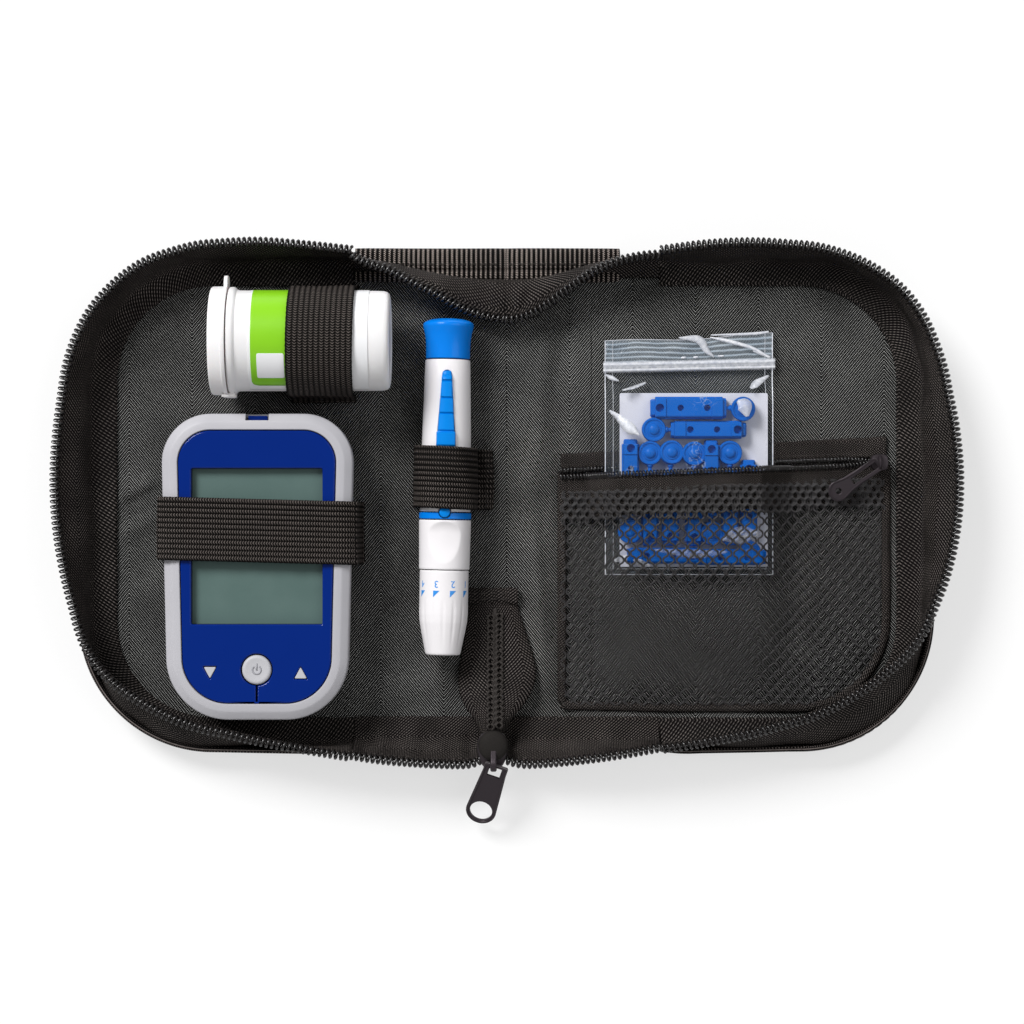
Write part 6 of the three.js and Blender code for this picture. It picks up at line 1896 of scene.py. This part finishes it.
# %% Tapes, coils and seams of the pocket
xs = np.linspace(POCKET_LEFT + 0.4, POCKET_RIGHT, 150)
tape_lines = ((8.2, 11.8, 0.5), (6.0, 9.6, 0.25), (2.0, 5.8, -0.3), (-3.6, 0.6, -0.45))
rows = []
for x in xs:
    row = []
    for left, right, lift in tape_lines:
        y = zip_line(x, left, right)
        z = net_height(x, min(y, zip_line(x, *LOWER_ZIP))) + lift
        row.append((x, y + 0.15 * math.sin(x * 0.9), z))
    rows.append(evenly(rounded(row, 20), 12))
band = cloth_piece("pocket_lower_tape", np.array(rows)[:, ::-1], NARROW_TAPE_THICK, narrow_tape)
over_fold(band, 1, "net_yarn")
cut_size(band, 98, 12, "stretched", "right_lining", with_pieces=[net, hem])
rows = []
for x in xs:
    edge, coil_y = zip_line(x, 15.6, 20.6), zip_line(x, *UPPER_ZIP)
    crown = 0.5 + 0.4 * math.sin(x * 0.45) * math.sin(x * 0.13)
    section = [(edge, 0), (edge - 0.7, crown), (coil_y + 2.0, 0.5), (coil_y + 0.2, 0.9)]
    row = [(x, y, FLOOR_TOP + 0.35 + rise) for y, rise in section]
    rows.append(evenly(rounded(row, 24), 12))
band = cloth_piece("pocket_upper_tape", np.array(rows)[:, ::-1], NARROW_TAPE_THICK, narrow_tape)
over_fold(band, 1, "zip_tape")
lower_z = net_height(xs, zip_line(xs, *LOWER_ZIP)) + 1.1
meet = np.clip((xs - 100) / 10, 0, 1) ** 2
for name, place, z, way in (
    ("upper", UPPER_ZIP, np.full_like(xs, FLOOR_TOP + 1.6), -1.0), ("lower", LOWER_ZIP, lower_z, 1.0),
):
    y = zip_line(xs, *place)
    y = y + (zip_line(xs, *MEETING) - y) * 0.75 * meet
    line = np.stack([xs, y, z], axis=1)
    out = np.tile([0.0, way, 0.0], (len(xs), 1))
    coil = coil_parts(line, out, reach=0.72, height=0.62, wire=0.25, head=0.16, pitch=1.02)
    over_fold(piece(f"pocket_{name}_coil", coil, nylon), 1, "zip_nylon", f"pocket_{name}_zip")
    stitches = stitch_parts(line - out * 1.5 + [0, 0, -0.25], length=1.2, gap=0.5, radius=0.15)
    over_fold(piece(f"pocket_{name}_stitches", joined(stitches), thread), 1, "zip_tape")
print("the pocket's zip is", ZIP_RUN, "mm long")

# %% The pocket's binding
arc = circle(
    POCKET_RIGHT - POCKET_CORNER, POCKET_BOTTOM + POCKET_CORNER, POCKET_CORNER, 14, -math.pi / 2,
    math.pi / 2,
)
left_seam = [(POCKET_LEFT + 0.9, y) for y in (10.0, -25, POCKET_BOTTOM + 0.8)]
outline = [*left_seam, (50, POCKET_BOTTOM), *arc, (POCKET_RIGHT, 12.0)]
seam_line = evenly(np.array([(x, y, FLOOR_TOP + 0.75) for x, y in outline]), step=1.1)
out = away_from(seam_line)
section = ((-1.3, -0.25), (-0.7, 0.15), (0.0, 0.25), (0.7, 0.1), (1.1, -0.3))
band = np.array([[p + o * d + [0, 0, h] for d, h in section] for p, o in zip(seam_line, out)])
band = cloth_piece("pocket_binding", ripple(band, 0.15, seed=33), NARROW_TAPE_THICK, narrow_tape)
over_fold(band, 1, "net_yarn")
stitches = stitch_parts(seam_line + [0, 0, 0.5], length=1.5, gap=0.7, radius=0.16)
over_fold(piece("pocket_seam_stitches", joined(stitches), thread), 1, "net_yarn")
print("the binding is", round(run_of(seam_line)[-1]), "mm long")

# %% The pocket's slider and pull
SMALL_X, SMALL_Y = 112.0, 12.8


def pocket_slider_outline(scale, z):
    knots = [(-2.7, 0), (-2.2, 1.9), (0, 2.5), (2.2, 2.1), (2.7, 0), (2.2, -2.1), (0, -2.5), (-2.2, -1.9)]
    return [(SMALL_X + px * scale, SMALL_Y + py * scale, z) for px, py in rounded(knots, 36, closed=True)]


steps = ((0.9, 5.8), (1.0, 6.0), (1.0, 7.9), (0.93, 8.3), (0.6, 8.5), (0.2, 8.55))
body = stack([pocket_slider_outline(scale, z) for scale, z in steps])
bail_line = ((14.6, 8.2), (14.4, 10.0), (SMALL_Y, 10.9), (11.2, 10.0), (10.9, 8.2))
bail = rounded([(SMALL_X, y, z) for y, z in bail_line], 24)
crisp(
    "pocket_slider_cap", joined([body, tube_parts(bail, 0.5, sides=10)]), dark_metal, "pocket_slider_body",
    "dark_metal", "pocket_slider",
)
pull = turned_about(joined(pull_tab(17.5, 6.2, 4.4, 0.9, 9.5, 2.0, 0.9)), 4, -55.2, (111.425, 12.4, 9.6))
crisp("pocket_pull", pull, dark_metal, "pocket_pull", "dark_metal", "pocket_pull_tab")
print("the pocket's slider stands at", (SMALL_X, SMALL_Y))

# %% [markdown]
# ## Bag of lancets
# Clear film shows only by what it mirrors: thin white lines along its wrinkles, its side seams and
# its press lock. So most of it lets light straight through, and those lines are painted: a share of
# pale colour that rises along the wrinkles, seams and lock stands for the reflections. The lancets in
# it are moulded bars with round recesses, and each has a flat round cap that twists off at a thin neck.

# %% Film
BAG_LEFT, BAG_RIGHT, BAG_LIP, BAG_END = 29.7, 80.1, 49.5, -20.9
THICK_ACROSS = [[0, 0], [0.03, 0.2], [0.07, 0.85], [0.12, 1], [0.9, 1], [0.95, 0.55], [0.985, 0.1], [1, 0]]
THICK_DOWN = [[0, 0], [0.18, 0.05], [0.205, 0.5], [0.235, 1], [0.93, 1], [0.975, 0.5], [1, 0]]


def clear_film():
    film = Finish("bag_film", Roughness=0.12, Specular_IOR_Level=0.7)
    down, _ = film.along_cloth()
    folds = film.noise(0.14, 3.0)
    sharp = 1 - ((folds - 0.5) * 22).to_zigzag(1.0)
    # Painted glints: in patches along sharp folds, the film turns opaque and pale.
    glint_streak = sharp.from_to(0.8, 1.0) * film.noise(0.06, 2.0).from_to(0.56, 0.68)
    lip = down.from_to(9.0, 7.6)
    # Painted glints as well: bright lines over the lip.
    lines = ((down + folds * 1.3) / 1.45).to_wave() ** 4 * lip
    # The pale, slightly blue colour that the share shows is painted reflection.
    film.feed("Base Color", film.mix(folds, ink(150, 170, 190), ink(232, 242, 250)))
    share = glint_streak * 0.22 + lines * 0.3 + lip * 0.06 + 0.012
    film.bump(folds * 3 + lines * 0.4, 0.4, 0.6)
    film.let_through(share)
    return film.material


bag_film = clear_film()
print("clear film of", len(bag_film.node_tree.nodes), "nodes")

# %% Front and back of the bag
FILM_COLUMNS, FILM_ROWS = 90, 120
across, along = np.meshgrid(np.linspace(0, 1, FILM_COLUMNS), np.linspace(0, 1, FILM_ROWS), indexing="ij")
x = BAG_LEFT + (BAG_RIGHT - BAG_LEFT) * across
y = BAG_LIP + (BAG_END - BAG_LIP) * along + (2.3 * across**2 + 0.3 * np.sin(across * 9)) * (1 - along) ** 8
base = 3.5 + 1.9 * between([[0, 0.4], [0.1, 0.2], [0.18, 0], [0.27, 1], [1, 1]], along)
tall = 6.4 * between(THICK_ACROSS, across) * between(THICK_DOWN, along)
crinkle = 0.22 * np.sin(along * 90 + 3 * across) * (along < 0.12)
crinkle = crinkle + 0.22 * np.sin(across * 23 + along * 17) * np.sin(along * 31)
edge = np.clip(np.minimum(across, 1 - across) / 0.02, 0, 1)
front = np.stack([x, y, base + 0.75 + tall + np.abs(crinkle) * edge], axis=2)
back = np.stack([x, y, base + 0.15], axis=2)
front_film = cloth_piece("bag_front", front[::-1], FILM_THICK, bag_film, "bag", "bag_clear", "bag_film")
back_film = cloth_piece("bag_back", back[::-1], FILM_THICK, bag_film, "bag", "bag_clear")
cut_size(back_film, 50, 71, "laid", "right_lining")
cut_size(front_film, 50, 71, "laid", "bag_back")
print("the bag is", round(float(front[:, :, 2].max()), 1), "mm high at most")


# %% Creases
def on_film(x, y):
    """The front film's height at a place, in millimetres."""
    i = np.clip((x - BAG_LEFT) / (BAG_RIGHT - BAG_LEFT), 0, 1) * (FILM_COLUMNS - 1)
    j = np.clip((BAG_LIP - y) / (BAG_LIP - BAG_END), 0, 1) * (FILM_ROWS - 1)
    return front[i.round().astype(int), j.round().astype(int), 2]


def glint_film_finish():
    """Painted glints on creases, seams and the lock: film that is whiter by the first of its two cloth
    lengths.
    """
    film = Finish("bag_painted_glint", Roughness=0.3, Specular_IOR_Level=0.6)
    share, along = film.along_cloth()
    grain = film.noise(0.9, 3.0)
    film.feed("Base Color", film.mix(grain, ink(206, 212, 228), ink(255, 255, 255)))
    film.bump(grain, 0.2, 0.5)
    film.let_through(share * (grain * 0.8 + 0.6))
    return film.material


# Raised creases with painted glints: points (x, y, half width), and how white they are painted.
glint_lines = [
    ([(30.9, 28.4, 0.3), (33.6, 26.0, 1.0), (36.9, 22.9, 1.7), (39.6, 20.9, 0.3)], 0.85),
    ([(51.8, 50.4, 0.2), (57.8, 49.8, 1.2), (60.2, 46.6, 0.9), (62.5, 44.6, 0.2)], 0.55),
    ([(61.3, 50.5, 0.2), (66.5, 49.4, 0.6), (74.0, 47.3, 0.5), (79.4, 44.3, 0.3)], 0.8),
    ([(61.5, 51.2, 0.2), (74.0, 51.6, 0.45), (79.0, 52.2, 0.3)], 0.7),
    ([(74.2, 46.4, 0.2), (77.2, 45.4, 0.5), (79.6, 44.6, 0.2)], 0.5),
    ([(73.2, 35.0, 0.3), (75.2, 36.6, 1.1), (79.0, 39.0, 0.3)], 0.6),
    ([(29.9, 39.3, 0.2), (31.6, 38.3, 0.7), (33.8, 37.4, 0.2)], 0.6),
    ([(34.6, 34.4, 0.2), (38.2, 35.4, 0.5), (41.9, 36.9, 0.3)], 0.55),
    ([(52.6, 44.4, 0.2), (53.2, 44.4, 0.35), (54.0, 44.5, 0.2)], 0.9),
    ([(56.2, 44.5, 0.2), (56.9, 44.5, 0.35), (57.6, 44.6, 0.2)], 0.9),
    ([(63.6, 44.9, 0.2), (64.5, 44.9, 0.3), (65.4, 45.0, 0.2)], 0.8),
    ([(69.0, 31.2, 0.5), (71.0, 29.6, 2.3), (71.9, 26.4, 0.5)], 0.42),
    ([(31.8, -17.0, 0.3), (34.5, -16.0, 0.9), (36.4, -15.2, 0.3)], 0.4),
    ([(38.0, -16.2, 0.4), (40.0, -17.4, 1.1), (43.0, -18.2, 0.3)], 0.5),
    ([(44.0, -13.4, 0.3), (56.0, -14.6, 1.3), (66.0, -14.0, 0.3)], 0.16),
    ([(64.0, -10.4, 0.3), (70.0, -9.0, 2.6), (76.0, -8.6, 0.4)], 0.2),
    ([(71.0, -1.0, 0.4), (75.0, 1.4, 1.9), (77.6, 4.6, 0.4)], 0.25),
]
parts, shares = [], []
for knots, white in glint_lines:
    line = rounded(knots, 24)
    way = unit(np.gradient(line[:, :2], axis=0))
    off = np.stack([-way[:, 1], way[:, 0]], axis=1) * np.maximum(line[:, 2:], 0.08)
    rows = []
    for side, rise in ((-1, 0.1), (0, 0.45), (1, 0.1)):
        x, y = (line[:, :2] + side * off).T
        rows.append(np.stack([x, y, on_film(x, y) + rise], axis=1))
    points, faces, _ = cloth_grid(np.stack(rows, axis=1)[::-1], 0.05)
    parts.append((points, faces))
    shares += [(white, 0.0)] * len(points)
painted_glint = glint_film_finish()
piece("bag_crease_glints", joined(parts), painted_glint, "bag", "bag_clear", cloth=shares)
print(len(glint_lines), "creases in the film")

# %% Seams, lock and card
lock_y = [43.7, 43.2, 42.7, 42.2, 41.4, 41.0, 40.5, 40.1]
lock_rise = [0.1, 0.75, 1.0, 0.55, 0.5, 0.85, 0.6, 0.1]
xs = np.linspace(BAG_LEFT - 0.6, BAG_RIGHT + 0.8, 90)
lean = 1.1 * (xs - BAG_LEFT) / (BAG_RIGHT - BAG_LEFT)
middle = front[:, int(np.argmin(np.abs(front[0, :, 1] - 42.0))), 2].mean()
rows = []
for y0, rise in zip(lock_y, lock_rise):
    rows.append(np.stack([xs, y0 - 0.4 + lean, np.full_like(xs, middle + rise - 0.2)], axis=1))
points, faces, _ = cloth_grid(np.stack(rows, axis=1)[::-1], 0.12)
# How white each ridge of the lock is painted: glints along its ridges.
lock_glint = [0.1, 0.3, 0.85, 0.4, 0.25, 0.75, 0.3, 0.1]
shares = [(white, 0.0) for white in lock_glint * (2 * len(xs))]
piece("bag_lock", (points, faces), painted_glint, "bag", "bag_clear", cloth=shares)
parts, shares = [], []
# Each seam: its line on the front film, how wide it is and how white its painted glint is.
seams = [
    (front[0], 0.16, 0.9), (front[4], 0.1, 0.45), (front[-5], 0.1, 0.5), (front[-1], 0.18, 0.95),
    (front[:, 0], 0.12, 0.55), (front[:, -1], 0.14, 0.5), (front[:, -4], 0.1, 0.3),
]
for line, wide, white in seams:
    parts.append(tube_parts(line + [0, 0, 0.05], wide, 5))
    shares += [(white, 0.0)] * len(parts[-1][0])
piece("bag_seams", joined(parts), painted_glint, "bag", "bag_clear", cloth=shares)
card = flat_plate([rounded_box(34.0, -18.6, 78.6, 33.7, 0.5)], 0.4, 0.05, 5.75)
piece("bag_paper", card, card_white, "bag", "card_white", "bag_card")
print(len(seams), "lines of seam round the bag")


# %% Lancets
def bar(length, wide, tall):
    """A moulded bar along X, stepped at both ends, on z = 0."""
    # Each step: its share of the length, of the width and of the height.
    steps = [
        (0, 0.7, 0.55), (0.02, 0.8, 0.66), (0.06, 0.8, 0.7), (0.065, 0.98, 0.88), (0.075, 1, 0.96),
        (0.2, 1, 1), (0.21, 1, 0.92), (0.8, 1, 0.92), (0.81, 1, 1), (0.95, 1, 0.96), (0.96, 0.9, 0.8),
        (1, 0.86, 0.74),
    ]
    side = [(-1, 0), (-1, 0.5), (-0.84, 0.56), (-0.8, 0.94), (-0.7, 1)]
    section = side + [(-across, up) for across, up in reversed(side)]
    rings = []
    for place, w, h in steps:
        x, half, top = (place - 0.5) * length, wide * w / 2, tall * h
        rings.append([(x, half * across, top * up) for across, up in section])
    return stack(rings)


def lancet(name, x, y, degrees, wide, node=None, base=6.4, cap=True):
    """A lancet whose cap points at the given angle from +X."""
    turn = {"tilt": 0, "yaw": degrees, "move": (x, y, base)}
    body = piece(name, turned_about(bar(22.7, wide, 4.9), **turn), lancet_blue, "bag", "lancet_blue", node)
    cutters = []
    for place, radius in ((-8.6, 1.25), (-2.4, 0.95), (5.6, 1.0)):
        recess = [(0.05, 2.8), (radius * 0.8, 2.8), (radius, 3.2), (radius, 6.0), (0.05, 6.0)]
        drill = lathe(recess, 24, "z", (place, 0, 0))
        cutters.append(piece("cutter", turned_about(drill, **turn), lancet_blue))
    carve(body, cutters)
    if cap:
        middle = 11.35 + 1.8 + 3.3
        disc = lathe([
            (0.05, 1.5), (3.35, 1.5), (3.65, 1.75), (3.65, 3.2), (3.4, 3.6), (3.0, 3.62), (2.8, 3.35),
            (2.3, 3.3), (2.1, 3.5), (1.75, 3.5), (1.5, 3.85), (1.0, 4.2), (0.05, 4.3),
        ], 44, "z")
        sway = math.sin(x * 1.7 + y) * 9
        disc = turned_about(disc, sway, degrees * 0.4, (middle, 0, 0.1 * abs(sway) / 3))
        neck = tube_parts(
            [(10.9, 0, 2.4), (12.0, 0, 2.5), (12.6, 0, 2.5), (13.6, 0, 2.5)], [0.75, 0.55, 0.95, 0.6], 12,
        )
        crisp(f"{name}_cap", turned_about(joined([disc, neck]), **turn), lancet_blue, "bag", "lancet_blue")


lancet("lancet_top", 54.5, 29.1, 0, 6.8, "lancet_upper")
lancet("lancet_second", 60.6, 22.6, 180, 5.4, "lancet_lower")
lancet("lancet_row_1", 43.0, -0.9, 90, 5.2, "lancet_pile")
others = [
    (49.2, -0.9, 90), (56.2, -1.1, 90), (67.0, -0.8, 90), (37.2, 8.4, -90), (61.4, 8.1, -90),
    (72.6, 2.2, -90),
]
for number, (x, y, degrees) in enumerate(others, 2):
    lancet(f"lancet_row_{number}", x, y, degrees, 5.2)
lancet("lancet_end_1", 47.5, -15.2, 180, 4.8, base=6.3, cap=False)
lancet("lancet_end_2", 66.5, -15.6, 0, 4.8, base=6.3, cap=False)
print("eleven lancets in the bag")
